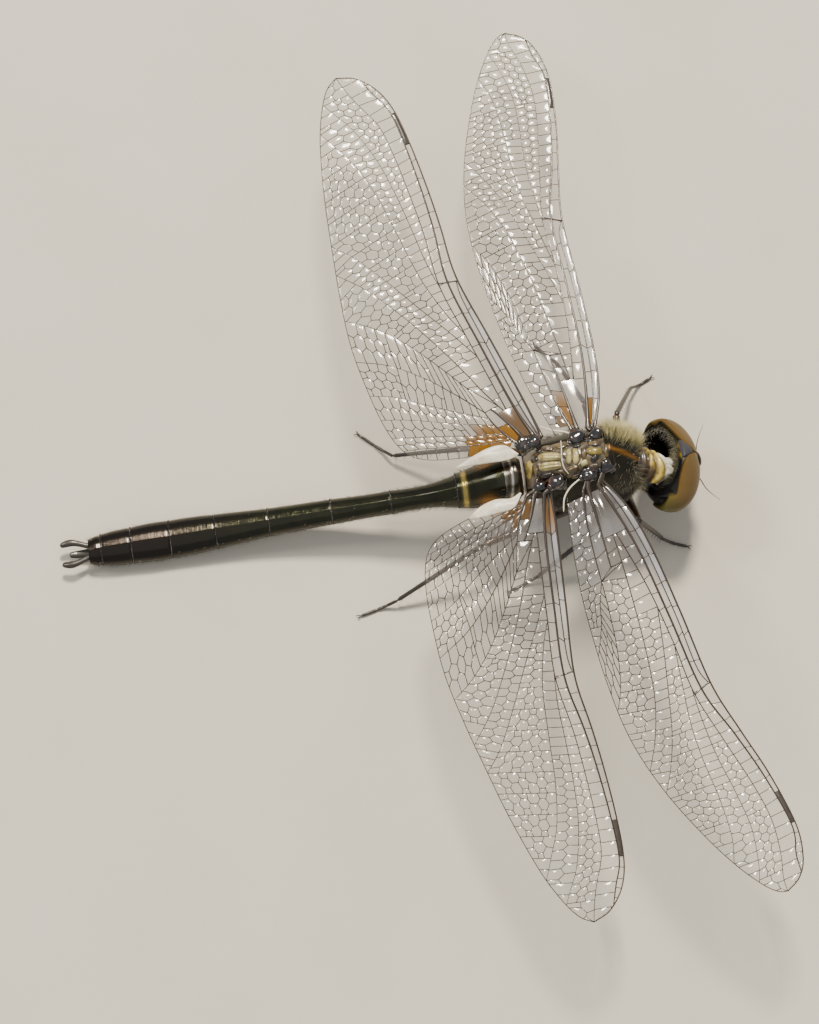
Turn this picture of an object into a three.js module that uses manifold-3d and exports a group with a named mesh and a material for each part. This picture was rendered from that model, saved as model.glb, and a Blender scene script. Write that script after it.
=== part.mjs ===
// A life-size American emerald dragonfly (Cordulia shurtleffii), male, freshly emerged:
// it rests on its six feet and on the underside of its abdomen, wings spread, head hung forward.
// Millimetres. X runs along the body towards the head, Y to the animal's left, Z up; the floor is z = 0.
import * as THREE from 'three';
import { mergeVertices } from 'three/addons/utils/BufferGeometryUtils.js';
import Module from 'manifold-3d';

// ---- Driving dimensions -------------------------------------------------------------------

const seamGap = 0.25;             // clearance between neighbouring pieces
const bodySides = 16;             // facets round the abdomen
const thoraxSides = 20;           // facets round the thorax
const limbSides = 8;              // facets round a leg or a feeler

const foreWingLength = 32.2;
const hindWingLength = 31.0;
const wingThickness = 0.5;
const wingCamber = 0.35;          // rise of the middle of the chord
const wingRows = 22;              // steps along the span
const wingColumns = 5;            // steps along the chord
const wingRootInset = 0.15;       // the blade starts this far out from its hinge

const thoraxLean = 0.08;          // the back leans to the left by this much for each millimetre of height
const leanPivot = 6.2;            // height that stays on the middle line

const headWidth = 7.5;
const headHeight = 4.9;
const headDepth = 4.2;
const headCentre = new THREE.Vector3(7.1, -0.36, 5.15);

const legThickness = 0.52;        // a shin; thighs are thicker
const tarsusThickness = 0.5;
const antennaThickness = 0.5;
const cercusLength = 2.1;

const chitin = { black: 0x15130f, brown: 0x3a2a1a, green: 0x1d2a20, eye: 0xa07c55, wing: 0xb9b9ae };

// ---- Shaping tools ------------------------------------------------------------------------

const wasm = await Module();
wasm.setup();

// Join the doubled vertices that a three.js shape has along its seams and poles.
function weld(geometry) {
  geometry.deleteAttribute('normal');
  geometry.deleteAttribute('uv');
  const welded = mergeVertices(geometry, 1e-4);
  welded.computeVertexNormals();
  return welded;
}

function toSolid(geometry) {
  const welded = weld(geometry);
  const vertProperties = new Float32Array(welded.attributes.position.array);
  const triVerts = new Uint32Array(welded.index.array);
  return new wasm.Manifold(new wasm.Mesh({ numProp: 3, vertProperties, triVerts }));
}

function toGeometry(solid) {
  const cut = solid.getMesh();
  const geometry = new THREE.BufferGeometry();
  geometry.setAttribute('position', new THREE.BufferAttribute(cut.vertProperties, 3));
  geometry.setIndex(new THREE.BufferAttribute(cut.triVerts, 1));
  geometry.computeVertexNormals();
  return geometry;
}

// A block that fills everything beyond the plane whose normal is given, `offset` along that normal.
function halfSpace(normal, offset) {
  const size = 30;
  const unit = normal.clone().normalize();
  const block = new THREE.BoxGeometry(size, size, size);
  const turn = new THREE.Quaternion().setFromUnitVectors(new THREE.Vector3(0, 0, 1), unit);
  block.applyQuaternion(turn);
  block.translate(...unit.multiplyScalar(offset + size / 2).toArray());
  return toSolid(block);
}

function ellipsoid(radii, centre, around = 24, along = 14) {
  const ball = new THREE.SphereGeometry(1, around, along);
  ball.scale(...radii);
  ball.translate(...centre);
  return ball;
}

// A closed skin round a spine. A lathed drum gives the grid; place(t, angle) gives the point of the
// skin at t along the spine and `angle` round it, and centre(t) the middle of each end cap.
function drum(rows, sides, place, centre) {
  const profile = [new THREE.Vector2(0, 0)];
  for (let row = 0; row <= rows; row += 1) {
    profile.push(new THREE.Vector2(1, row / rows));
  }
  profile.push(new THREE.Vector2(0, 1));
  const geometry = new THREE.LatheGeometry(profile, sides);
  const position = geometry.attributes.position;
  for (let i = 0; i < position.count; i += 1) {
    const t = position.getY(i);
    const onAxis = Math.hypot(position.getX(i), position.getZ(i)) < 0.5;
    const angle = Math.atan2(position.getZ(i), position.getX(i));
    const point = onAxis ? centre(t) : place(t, angle);
    position.setXYZ(i, point.x, point.y, Math.max(point.z, 0));
  }
  return weld(geometry);
}

// A round limb along a smooth path; radius(t) is its half thickness. What would sink below the
// floor is flattened on it, which gives a foot its small flat sole.
function limb(points, radius, rows) {
  const path = new THREE.CatmullRomCurve3(points);
  const up = new THREE.Vector3(0, 0, 1);
  const place = (t, angle) => {
    const tangent = path.getTangentAt(t);
    const side = new THREE.Vector3().crossVectors(tangent, up).normalize();
    const above = new THREE.Vector3().crossVectors(side, tangent);
    return path.getPointAt(t)
      .addScaledVector(side, radius(t) * Math.cos(angle))
      .addScaledVector(above, radius(t) * Math.sin(angle));
  };
  return drum(rows, limbSides, place, (t) => path.getPointAt(t));
}

// Pull both ends of a straight piece in by a seam gap, so that it clears its neighbours.
function shortened(from, to, inset = seamGap) {
  const along = new THREE.Vector3().subVectors(to, from).normalize();
  return [from.clone().addScaledVector(along, inset), to.clone().addScaledVector(along, -inset)];
}

const at = (x, y, z) => new THREE.Vector3(x, y, z);
const dragonfly = new THREE.Group();

function addPart(name, geometry, color, roughness, parent = dragonfly) {
  const material = new THREE.MeshStandardMaterial({ color, roughness, metalness: 0 });
  const mesh = new THREE.Mesh(geometry, material);
  mesh.name = name;
  parent.add(mesh);
}

// ---- Thorax -------------------------------------------------------------------------------

// Each ring of the wing-bearing thorax: how far along, its top, its keel and its half width.
const thoraxRings = [
  { x: -3.45, top: 8.3, keel: 4.9, half: 1.45 },
  { x: -2.5, top: 9.5, keel: 4.2, half: 2.05 },
  { x: -1.2, top: 9.9, keel: 3.4, half: 2.45 },
  { x: 0.3, top: 10.1, keel: 2.8, half: 2.65 },
  { x: 1.8, top: 10.3, keel: 2.6, half: 2.7 },
  { x: 3.0, top: 10.0, keel: 3.0, half: 2.6 },
  { x: 4.0, top: 9.3, keel: 4.0, half: 2.3 },
  { x: 4.6, top: 8.7, keel: 5.4, half: 1.85 },
  { x: 4.95, top: 8.2, keel: 6.3, half: 1.25 },
];

// The rings become one smooth run: a curve of their tops and keels and a curve of their widths.
const thoraxHeights = new THREE.CatmullRomCurve3(
  thoraxRings.map((ring) => at(ring.x, ring.top, ring.keel)), false, 'catmullrom');
const thoraxWidths = new THREE.CatmullRomCurve3(
  thoraxRings.map((ring) => at(ring.x, ring.half, 0)), false, 'catmullrom');

const lean = (z) => thoraxLean * (z - leanPivot);

function thoraxPoint(t, angle) {
  const { x, y: top, z: keel } = thoraxHeights.getPoint(t);
  const half = thoraxWidths.getPoint(t).y;
  const rise = Math.sin(angle);
  const narrowing = 1 - 0.16 * Math.max(rise, 0);      // the roof between the wings is narrower
  const z = (top + keel) / 2 + ((top - keel) / 2) * rise;
  return at(x, lean(z) - half * narrowing * Math.cos(angle), z);
}

function thoraxCentre(t) {
  const { x, y: top, z: keel } = thoraxHeights.getPoint(t);
  return at(x, lean((top + keel) / 2), (top + keel) / 2);
}

addPart('pterothorax', drum(16, thoraxSides, thoraxPoint, thoraxCentre), chitin.green, 0.35);

// The small first ring of the thorax with the neck, which reaches into the back of the head.
const prothoraxPath = [at(5.3, -0.02, 7.1), at(5.75, -0.08, 7.05), at(6.25, -0.15, 6.8)];
const prothoraxRadius = (t) => THREE.MathUtils.lerp(1.05, 0.55, Math.min(1, t * 1.4));
addPart('prothorax', limb(prothoraxPath, prothoraxRadius, 4), chitin.brown, 0.5);

// ---- Abdomen ------------------------------------------------------------------------------

// Joints between the ten rings, front to back: place along the body, sway to the left, height of
// the middle, half width and half height. The club of rings 7 to 9 lies on the floor.
const abdomenJoints = [
  { x: -3.65, y: 0.0, z: 6.5, half: 1.45, tall: 1.65 },
  { x: -4.75, y: -0.05, z: 6.3, half: 1.68, tall: 1.78 },
  { x: -8.2, y: -0.15, z: 5.3, half: 1.3, tall: 1.35 },
  { x: -13.1, y: -0.05, z: 3.85, half: 0.9, tall: 1.0 },
  { x: -17.5, y: 0.08, z: 2.75, half: 0.95, tall: 0.93 },
  { x: -22.2, y: 0.12, z: 1.83, half: 1.06, tall: 0.95 },
  { x: -26.2, y: 0.1, z: 1.2, half: 1.3, tall: 1.02 },
  { x: -29.6, y: 0.05, z: 0.9, half: 1.42, tall: 1.05 },
  { x: -32.5, y: 0.0, z: 0.88, half: 1.36, tall: 1.02 },
  { x: -34.8, y: -0.05, z: 0.9, half: 1.18, tall: 0.88 },
  { x: -35.85, y: -0.08, z: 0.95, half: 0.92, tall: 0.7 },
];
const abdomenSpine = new THREE.CatmullRomCurve3(
  abdomenJoints.map((joint) => at(joint.x, joint.y, joint.z)), false, 'catmullrom');
const abdomenGirth = new THREE.CatmullRomCurve3(
  abdomenJoints.map((joint) => at(joint.x, joint.half, joint.tall)), false, 'catmullrom');

// Bulge of each ring between its joints: the second is swollen, the third is waisted.
const ringBulge = [0.02, 0.1, -0.2, -0.02, 0, 0, 0.02, 0.03, 0.02, 0.02];

ringBulge.forEach((bulge, ring) => {
  const length = abdomenJoints[ring].x - abdomenJoints[ring + 1].x;
  const margin = seamGap / 2 / length;
  const along = (t) => (ring + margin + t * (1 - 2 * margin)) / ringBulge.length;
  const place = (t, angle) => {
    const girth = abdomenGirth.getPoint(along(t));
    const swell = 1 + bulge * Math.sin(Math.PI * t);
    return abdomenSpine.getPoint(along(t))
      .add(at(0, girth.y * swell * Math.cos(angle), girth.z * swell * Math.sin(angle)));
  };
  const centre = (t) => abdomenSpine.getPoint(along(t));
  addPart(`abdomen_${ring + 1}`, drum(4, bodySides, place, centre), chitin.black, 0.3);
});

// Claspers at the tip: two upper ones that bow outwards and one short plate below them.
const tail = abdomenJoints[abdomenJoints.length - 1];
const cercusTaper = (t) => 0.27 - 0.06 * t;
for (const [name, side] of [['left', 1], ['right', -1]]) {
  const path = [
    at(tail.x - seamGap, tail.y + side * 0.4, tail.z + 0.22),
    at(tail.x - 0.55 * cercusLength, tail.y + side * 0.8, tail.z + 0.25),
    at(tail.x - cercusLength, tail.y + side * 0.72, tail.z + 0.12),
  ];
  addPart(`cercus_${name}`, limb(path, cercusTaper, 4), chitin.black, 0.35);
}
const epiproctPath = [at(tail.x - seamGap, tail.y, tail.z - 0.35), at(tail.x - 1.5, tail.y, tail.z - 0.3)];
addPart('epiproct', limb(epiproctPath, (t) => 0.32 - 0.06 * t, 2), chitin.black, 0.4);

// ---- Wings --------------------------------------------------------------------------------

// Edges of a wing laid flat: distance out from the hinge, then distance forward of the hinge line.
const foreWing = {
  length: foreWingLength,
  lead: [[0, 0.35], [2.7, 1.15], [6, 1.35], [10.5, 1.15], [15.8, 0.8], [20, 1.2], [24, 1.65],
    [28.2, 1.75], [30.6, 1.1], [31.8, 0.1], [32.2, -0.6]],
  trail: [[0, -2.5], [2.2, -3.3], [4.6, -4.1], [8, -5.0], [12.6, -5.85], [17, -6.15], [21.7, -5.6],
    [26, -4.5], [29, -3.5], [31.2, -2.3], [32.2, -1.2]],
};
const hindWing = {
  length: hindWingLength,
  lead: [[0, 0.15], [3, 0.25], [8, 0.25], [13, 0.25], [17, 1.0], [20, 1.5], [24, 2.0],
    [27, 2.15], [29, 1.75], [30.4, 0.7], [31, -0.3]],
  trail: [[0, -5.0], [0.5, -6.2], [1.2, -7.1], [2.2, -8.3], [3.6, -9.3], [6, -9.6], [9, -9.4],
    [12.1, -8.95], [15.6, -8.0], [18.8, -7.0], [23, -5.6], [27, -4.1], [29.3, -2.8], [31, -0.9]],
};

// Value of an edge at a distance out, read off a smooth curve through the edge's points.
function edgeReader(points) {
  const curve = new THREE.SplineCurve(points.map(([out, forward]) => new THREE.Vector2(out, forward)));
  const samples = curve.getPoints(300);
  return (out) => {
    const next = Math.max(1, samples.findIndex((sample) => sample.x >= out - 1e-6));
    const [a, b] = [samples[next - 1], samples[next]];
    const share = THREE.MathUtils.clamp((out - a.x) / Math.max(b.x - a.x, 1e-6), 0, 1);
    return THREE.MathUtils.lerp(a.y, b.y, share);
  };
}

// A wing blade: sweep turns it towards the head, lift raises its tip, both in degrees.
function wingBlade(plan, side, hinge, sweep, lift) {
  const [swing, rise] = [THREE.MathUtils.degToRad(sweep), THREE.MathUtils.degToRad(lift)];
  const flat = Math.cos(rise);
  const outward = at(Math.sin(swing) * flat, side * Math.cos(swing) * flat, Math.sin(rise));
  const forward = at(Math.cos(swing), -side * Math.sin(swing), 0);
  const above = new THREE.Vector3().crossVectors(forward, outward).multiplyScalar(side);
  const lead = edgeReader(plan.lead);
  const trail = edgeReader(plan.trail);
  const blade = new THREE.BoxGeometry(1, 1, 1, wingRows, wingColumns, 1);
  const position = blade.attributes.position;
  for (let i = 0; i < position.count; i += 1) {
    const t = position.getX(i) + 0.5;
    const across = position.getY(i) + 0.5;
    const spread = 0.5 - 0.5 * Math.cos(Math.PI * t);          // closer rows at root and tip
    const out = THREE.MathUtils.lerp(wingRootInset, plan.length, THREE.MathUtils.lerp(t, spread, 0.75));
    const chord = THREE.MathUtils.lerp(trail(out), lead(out), across);
    const camber = wingCamber * Math.sin(Math.PI * across) * Math.sin(Math.PI * Math.min(1, 0.1 + t));
    const point = hinge.clone()
      .addScaledVector(outward, out)
      .addScaledVector(forward, chord)
      .addScaledVector(above, position.getZ(i) * wingThickness + camber);
    position.setXYZ(i, point.x, point.y, point.z);
  }
  if (side > 0) {
    blade.index.array.reverse();                              // the left wing is a mirrored sheet
  }
  return weld(blade);
}

const wings = [
  { name: 'wing_fore_left', plan: foreWing, side: 1, hinge: at(1.6, 2.2, 9.05), sweep: -1, lift: -8 },
  { name: 'wing_fore_right', plan: foreWing, side: -1, hinge: at(1.6, -1.7, 9.35), sweep: 17.5, lift: 1 },
  { name: 'wing_hind_left', plan: hindWing, side: 1, hinge: at(-2.0, 2.2, 8.75), sweep: -19.7, lift: -1.5 },
  { name: 'wing_hind_right', plan: hindWing, side: -1, hinge: at(-2.0, -1.75, 8.95), sweep: -1.5, lift: -1 },
];
for (const wing of wings) {
  const blade = wingBlade(wing.plan, wing.side, wing.hinge, wing.sweep, wing.lift);
  addPart(wing.name, blade, chitin.wing, 0.15);
}

// ---- Legs ---------------------------------------------------------------------------------

// Hip, knee, ankle and claw of each leg. The feet lie flat on the floor near their claws.
const legs = [
  { name: 'fore_left', hip: at(3.9, 0.85, 3.3), trochanter: at(4.1, 1.6, 2.6), knee: at(4.0, 3.9, 5.1),
    ankle: at(5.7, 6.6, 1.3), claw: at(7.4, 7.4, 0.22) },
  { name: 'fore_right', hip: at(3.9, -0.85, 3.3), trochanter: at(4.05, -1.6, 2.6), knee: at(4.5, -4.0, 4.4),
    ankle: at(6.4, -5.0, 0.9), claw: at(8.2, -5.7, 0.22) },
  { name: 'mid_left', hip: at(2.75, 1.0, 2.3), trochanter: at(2.6, 1.85, 1.8), knee: at(1.9, 5.3, 4.3),
    ankle: at(0.5, 9.4, 0.85), claw: at(-0.9, 11.2, 0.22) },
  { name: 'mid_right', hip: at(2.75, -1.0, 2.3), trochanter: at(2.4, -1.85, 1.8), knee: at(0.6, -4.7, 3.9),
    ankle: at(-3.2, -6.5, 0.85), claw: at(-5.4, -7.2, 0.22) },
  { name: 'hind_left', hip: at(1.5, 1.1, 2.15), trochanter: at(0.6, 1.8, 1.75), knee: at(-6.4, 3.0, 4.3),
    ankle: at(-12.6, 4.05, 0.8), claw: at(-14.9, 6.15, 0.22) },
  { name: 'hind_right', hip: at(1.5, -1.1, 2.15), trochanter: at(0.6, -1.8, 1.75), knee: at(-6.9, -4.15, 4.0),
    ankle: at(-13.8, -6.85, 0.8), claw: at(-16.6, -7.5, 0.22) },
];

// Half thickness of a piece that is `root` thick at the body end and `tip` at the far end,
// with slightly pinched ends where it is jointed.
function tapered(root, tip) {
  return (t) => {
    const pinch = t < 0.01 || t > 0.99 ? 0.65 : 1;
    return (THREE.MathUtils.lerp(root, tip, t) / 2) * pinch;
  };
}

for (const leg of legs) {
  const sole = tarsusThickness / 2;
  const instep = leg.ankle.clone().lerp(leg.claw, 0.45).setZ(leg.claw.z + 0.02);
  const [foot, toe] = [shortened(leg.ankle, instep)[0], leg.claw];
  const coxa = limb(shortened(leg.hip, leg.trochanter), tapered(1.1, 0.8), 3);
  const femur = limb(shortened(leg.trochanter, leg.knee), tapered(0.85, 0.62), 4);
  const tibia = limb(shortened(leg.knee, leg.ankle), tapered(0.6, legThickness), 4);
  addPart(`coxa_${leg.name}`, coxa, chitin.brown, 0.45);
  addPart(`femur_${leg.name}`, femur, chitin.brown, 0.4);
  addPart(`tibia_${leg.name}`, tibia, chitin.black, 0.4);
  addPart(`tarsus_${leg.name}`, limb([foot, instep, toe], () => sole, 5), chitin.black, 0.4);
}

// ---- Head ---------------------------------------------------------------------------------

// Head frame: X out of the face, Y to the animal's left, Z up through the crown. The whole head
// hangs nose-down and leans to the left, so its hollow black back looks up.
const head = new THREE.Group();
const headBasis = new THREE.Matrix4().makeBasis(
  at(0.453, -0.300, -0.840).normalize(),
  at(-0.021, 0.938, -0.346).normalize(),
  at(0.891, 0.174, 0.417).normalize());
head.quaternion.setFromRotationMatrix(headBasis);
head.position.copy(headCentre);
dragonfly.add(head);

const skull = toSolid(ellipsoid([headDepth / 2, headWidth / 2, headHeight / 2], [0, 0, 0], 28, 18));
const eyeRear = -0.75;            // plane where the eyes end and the back of the head begins
const eyeSeam = 1.45;             // height at which the eyes stop meeting and the face begins
const faceSlope = 0.75;           // how fast the face widens downwards from there
const dome = skull.intersect(halfSpace(at(1, 0, 0), eyeRear));

// Normal of the plane between one eye and the face: it leans out as it goes down.
const faceNormal = (side) => at(0, side, faceSlope).normalize();
const faceOffset = eyeSeam * faceNormal(1).z;

for (const [name, side] of [['left', 1], ['right', -1]]) {
  const eye = dome
    .intersect(halfSpace(faceNormal(side), faceOffset))
    .intersect(halfSpace(at(0, side, 0), seamGap / 2));
  addPart(`eye_${name}`, toGeometry(eye), chitin.eye, 0.25, head);
}

// The back of the head: a plate with a shallow hollow, where the neck enters.
const hollow = toSolid(ellipsoid([1.05, 2.3, 1.6], [-2.3, 0, -0.1], 20, 12));
const back = skull.subtract(halfSpace(at(1, 0, 0), eyeRear - seamGap)).subtract(hollow);
addPart('head_capsule', toGeometry(back), chitin.black, 0.4, head);

// The face between the eyes, from the crown down: forehead, lip shield and lower lip.
const faceFill = (radii, centre) => toSolid(ellipsoid(radii, centre, 20, 12))
  .intersect(halfSpace(at(1, 0, 0), eyeRear + 0.2))
  .subtract(halfSpace(faceNormal(1), faceOffset - seamGap))
  .subtract(halfSpace(faceNormal(-1), faceOffset - seamGap));
const level = (height) => halfSpace(at(0, 0, 1), height);
const frons = faceFill([2.5, 2.0, 1.75], [-0.1, 0, 0.05]).intersect(level(0));
const clypeus = faceFill([2.4, 2.5, 2.4], [-0.1, 0, 0])
  .subtract(level(-seamGap))
  .intersect(level(-1.3));
const labium = faceFill([1.95, 2.2, 2.45], [-0.1, 0, 0]).subtract(level(-1.3 - seamGap));
addPart('frons', toGeometry(frons), chitin.green, 0.25, head);
addPart('clypeus', toGeometry(clypeus), chitin.brown, 0.4, head);
addPart('labium', toGeometry(labium), chitin.brown, 0.5, head);

for (const [name, side] of [['left', 1], ['right', -1]]) {
  const path = [at(2.25, side * 0.6, 1.35), at(2.2, side * 1.9, 2.05), at(2.0, side * 3.3, 2.75)];
  const curve = new THREE.CatmullRomCurve3(path);
  const ring = new THREE.Shape().absarc(0, 0, antennaThickness / 2, 0, 2 * Math.PI);
  const feeler = new THREE.ExtrudeGeometry(ring, { steps: 4, curveSegments: 3, extrudePath: curve });
  addPart(`antenna_${name}`, weld(feeler), chitin.black, 0.5, head);
}

// The origin is the middle of the model's bounding box, down on the floor.
const box = new THREE.Box3().setFromObject(dragonfly, true);
dragonfly.position.set(-(box.min.x + box.max.x) / 2, -(box.min.y + box.max.y) / 2, 0);

export default dragonfly;
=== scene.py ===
"""A freshly emerged male American emerald dragonfly (Cordulia shurtleffii), life size and at rest.

The sections follow the animal: frame, floor and light, thorax, its back plates, neck, abdomen, wings,
legs, head and hair. Shapes are worked out in the body's own millimetres: X towards the head, Y to the
animal's left, Z up from the floor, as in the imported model.
"""

import bpy
import numpy as np
from mathutils import Matrix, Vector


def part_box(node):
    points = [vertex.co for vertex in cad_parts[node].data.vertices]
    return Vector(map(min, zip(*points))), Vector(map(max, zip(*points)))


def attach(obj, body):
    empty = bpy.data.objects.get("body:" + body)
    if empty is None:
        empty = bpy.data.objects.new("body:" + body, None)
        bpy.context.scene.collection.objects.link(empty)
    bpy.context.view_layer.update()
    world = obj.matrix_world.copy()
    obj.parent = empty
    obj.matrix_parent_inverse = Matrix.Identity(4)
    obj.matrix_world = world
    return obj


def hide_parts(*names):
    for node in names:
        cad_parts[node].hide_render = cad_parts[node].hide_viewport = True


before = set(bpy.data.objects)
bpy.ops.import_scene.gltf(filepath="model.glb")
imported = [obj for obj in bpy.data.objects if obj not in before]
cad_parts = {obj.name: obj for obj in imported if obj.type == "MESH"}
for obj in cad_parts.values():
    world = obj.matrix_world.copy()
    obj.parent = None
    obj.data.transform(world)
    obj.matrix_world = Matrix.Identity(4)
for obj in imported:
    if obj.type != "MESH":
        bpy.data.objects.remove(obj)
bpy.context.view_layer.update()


# ---- Frame, floor and light ----------------------------------------------------------------
# The model stands on a plain pale studio floor. One lamp stands for the sun and a weaker one lights
# the tail side. A wide soft box and a pale room fill the shadows and give the wings light to mirror.

MM = 0.001
tail_low, tail_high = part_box("epiproct")
body_shift = np.array([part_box("pterothorax")[0].x + 3.45 * MM, (tail_low.y + tail_high.y) / 2 + 0.08 * MM, 0])


def in_row(points):
    """Body millimetres to the model's metres: scale down and shift to the model's own origin."""
    return np.asarray(points, float) * MM + body_shift


def linear(hex_colour):
    """sRGB hex to a linear colour: each channel through the sRGB curve, alpha 1."""
    channels = [int(hex_colour[i:i + 2], 16) / 255 for i in (1, 3, 5)]
    return tuple(c / 12.92 if c <= 0.04045 else ((c + 0.055) / 1.055) ** 2.4 for c in channels) + (1.0,)


def add(tree, kind, inputs=None, **settings):
    """Adds a node. A value in inputs that is a socket is linked, and any other is set."""
    node = tree.nodes.new(kind)
    for name, value in settings.items():
        setattr(node, name, value)
    for name, value in (inputs or {}).items():
        if isinstance(value, bpy.types.NodeSocket):
            tree.links.new(value, node.inputs[name])
        else:
            node.inputs[name].default_value = value
    return node


def new_material(name):
    """An empty node material. The Principled shader is wired up by the section that fills it."""
    material = bpy.data.materials.new(name)
    material.use_nodes = True
    material.node_tree.nodes.clear()
    return material, material.node_tree


def unit(way, spare=0.0):
    """The same direction or directions with length 1. spare keeps a zero length from dividing by 0."""
    return way / (np.linalg.norm(way, axis=-1, keepdims=True) + spare)


def faces_out(shell, open_up):
    """The shell's faces, turned over where its signed volume is negative or, for an open sheet,
    where its faces look down on the whole."""
    points, total = shell["points"], 0.0
    for faces in shell["faces"]:
        a, b, c = (points[faces[:, k]] for k in range(3))
        normal = np.cross(b - a, c - a)
        total += normal[:, 2].sum() if open_up else np.einsum("ij,ij->", a - points.mean(0), normal)
        if not open_up and faces.shape[1] == 4:
            d = points[faces[:, 3]]
            total += np.einsum("ij,ij->", a - points.mean(0), np.cross(c - a, d - a))
    return [faces[:, ::-1] if total < 0 else faces for faces in shell["faces"]]


def make_piece(name, shells, material, open_up=False):
    """One mesh from shells in body millimetres. The marks become point attributes, and a mark named
    OFBake becomes a UV map of that name."""
    points = np.concatenate([shell["points"] for shell in shells])
    starts = np.cumsum([0] + [len(shell["points"]) for shell in shells])
    faces = [part + start for shell, start in zip(shells, starts) for part in faces_out(shell, open_up)]
    corner_counts = np.concatenate([np.full(len(part), part.shape[1]) for part in faces])
    corners = np.concatenate([part.ravel() for part in faces])
    mesh = bpy.data.meshes.new(name)
    mesh.vertices.add(len(points))
    mesh.vertices.foreach_set("co", in_row(points).astype(np.float32).ravel())
    mesh.loops.add(len(corners))
    mesh.loops.foreach_set("vertex_index", corners.astype(np.int32))
    mesh.polygons.add(len(corner_counts))
    mesh.polygons.foreach_set("loop_start", (np.cumsum(corner_counts) - corner_counts).astype(np.int32))
    mesh.polygons.foreach_set("use_smooth", np.full(len(corner_counts), True))
    mesh.update(calc_edges=True)
    for key in shells[0].get("marks", {}):
        values = np.concatenate([shell["marks"][key] for shell in shells])
        if key == "OFBake":
            layer = mesh.uv_layers.new(name=key)
            layer.data.foreach_set("uv", values[corners].astype(np.float32).ravel())
        else:
            layer = mesh.attributes.new(key, "FLOAT", "POINT")
            layer.data.foreach_set("value", values[:, 0].astype(np.float32))
    mesh.materials.append(material)
    piece = bpy.data.objects.new(name, mesh)
    bpy.context.scene.collection.objects.link(piece)
    return piece


def make_finish(name, blotches, tones, surface, contrast=None, marks=(), hollow=None, dull=None,
                grain=None, stretch=None, relief=None):
    """A material in layers. Blotches, noise of a scale and detail, mix two tones, and contrast (low,
    high) sharpens them. Each mark lays one colour, or blotches of two, where its attribute is 1.
    hollow (reach in mm, low, high, colour) is painted shade: where an occlusion test finds grooves
    and creases, it darkens the tone towards the colour. surface holds the shader's own values, and dull
    (marks, {input: (usual, dulled)}) changes some of them where a mark is 1. relief (strength, depth
    in mm) raises the blotches, or else a grain (texture, settings), made finer along X, Y and Z by
    stretch."""
    material, tree = new_material(name)
    place = add(tree, "ShaderNodeTexCoord").outputs["Object"]
    scale, detail = blotches
    patches = add(tree, "ShaderNodeTexNoise",
                  {"Vector": place, "Scale": scale, "Detail": detail}).outputs["Fac"]
    share = patches
    if contrast:
        low, high = contrast
        share = add(tree, "ShaderNodeMapRange",
                    {"Value": patches, "From Min": low, "From Max": high}).outputs[0]
    tone = None
    for mark, *colours in [(None, *tones), *marks]:
        layer = linear(colours[-1])
        if len(colours) == 2:
            layer = add(tree, "ShaderNodeMix", {0: share, 6: linear(colours[0]), 7: layer},
                        data_type="RGBA").outputs[2]
        if mark:
            mask = add(tree, "ShaderNodeAttribute", attribute_name=mark).outputs["Fac"]
            layer = add(tree, "ShaderNodeMix", {0: mask, 6: tone, 7: layer}, data_type="RGBA").outputs[2]
        tone = layer
    # Painted shade: an occlusion test darkens the tone in grooves and creases towards the shadow colour.
    if hollow:
        reach, low, high, shadow = hollow
        groove_shade = add(tree, "ShaderNodeAmbientOcclusion", {"Distance": reach * MM}, samples=8).outputs["AO"]
        groove_shade = add(tree, "ShaderNodeMapRange", {"Value": groove_shade, "From Min": low, "From Max": high}).outputs[0]
        tone = add(tree, "ShaderNodeMix", {0: groove_shade, 6: linear(shadow), 7: tone}, data_type="RGBA").outputs[2]
    inputs = {"Base Color": tone, **surface}
    if dull:
        masks = [add(tree, "ShaderNodeAttribute", attribute_name=mark).outputs["Fac"] for mark in dull[0]]
        worn = masks[0]
        for mask in masks[1:]:
            worn = add(tree, "ShaderNodeMath", {0: worn, 1: mask}, operation="MAXIMUM").outputs[0]
        for key, (usual, dulled) in dull[1].items():
            inputs[key] = add(tree, "ShaderNodeMapRange",
                              {"Value": worn, "To Min": usual, "To Max": dulled}).outputs[0]
    if relief:
        height = patches
        if stretch:
            place = add(tree, "ShaderNodeMapping", {"Vector": place, "Scale": stretch}).outputs[0]
        if grain:
            height = add(tree, grain[0], {"Vector": place, **grain[1]}).outputs[0]
        strength, depth = relief
        inputs["Normal"] = add(tree, "ShaderNodeBump", {
            "Height": height, "Strength": strength, "Distance": depth * MM}).outputs[0]
    shader = add(tree, "ShaderNodeBsdfPrincipled", inputs).outputs[0]
    add(tree, "ShaderNodeOutputMaterial", {"Surface": shader})
    return material


camera_aim = np.array([-12.07, -1.36, 6.0])
camera_distance = 280.0
camera_height_deg = 79.0
camera_turn_deg = -8.0
camera_lens_mm = 135.03
camera_sensor_mm = 36
height, turn = np.radians(camera_height_deg), np.radians(camera_turn_deg)
camera_back = np.array([np.sin(turn) * np.cos(height), -np.cos(turn) * np.cos(height), np.sin(height)])
camera_right = np.array([np.cos(turn), np.sin(turn), 0])
camera_up = np.cross(camera_back, camera_right)

camera_data = bpy.data.cameras.new("camera")
camera_data.lens = camera_lens_mm
camera_data.sensor_width = camera_sensor_mm
camera_data.clip_start = 0.01
camera_data.clip_end = 10
camera = bpy.data.objects.new("camera", camera_data)
bpy.context.scene.collection.objects.link(camera)
bpy.context.scene.camera = camera


def look_from(place_mm, aim_mm):
    """A 4 by 4 placement at one point, looking at another with the image upright to camera_up."""
    back = unit(np.asarray(place_mm) - aim_mm)
    right = unit(np.cross(camera_up, back))
    placement = np.eye(4)
    placement[:3, :3] = np.stack([right, np.cross(back, right), back], 1)
    placement[:3, 3] = in_row(place_mm)
    return Matrix(placement.tolist())


camera.matrix_world = look_from(camera_aim + camera_back * camera_distance, camera_aim)

body_middle = np.array([-6.0, 0, 6.0])


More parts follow.
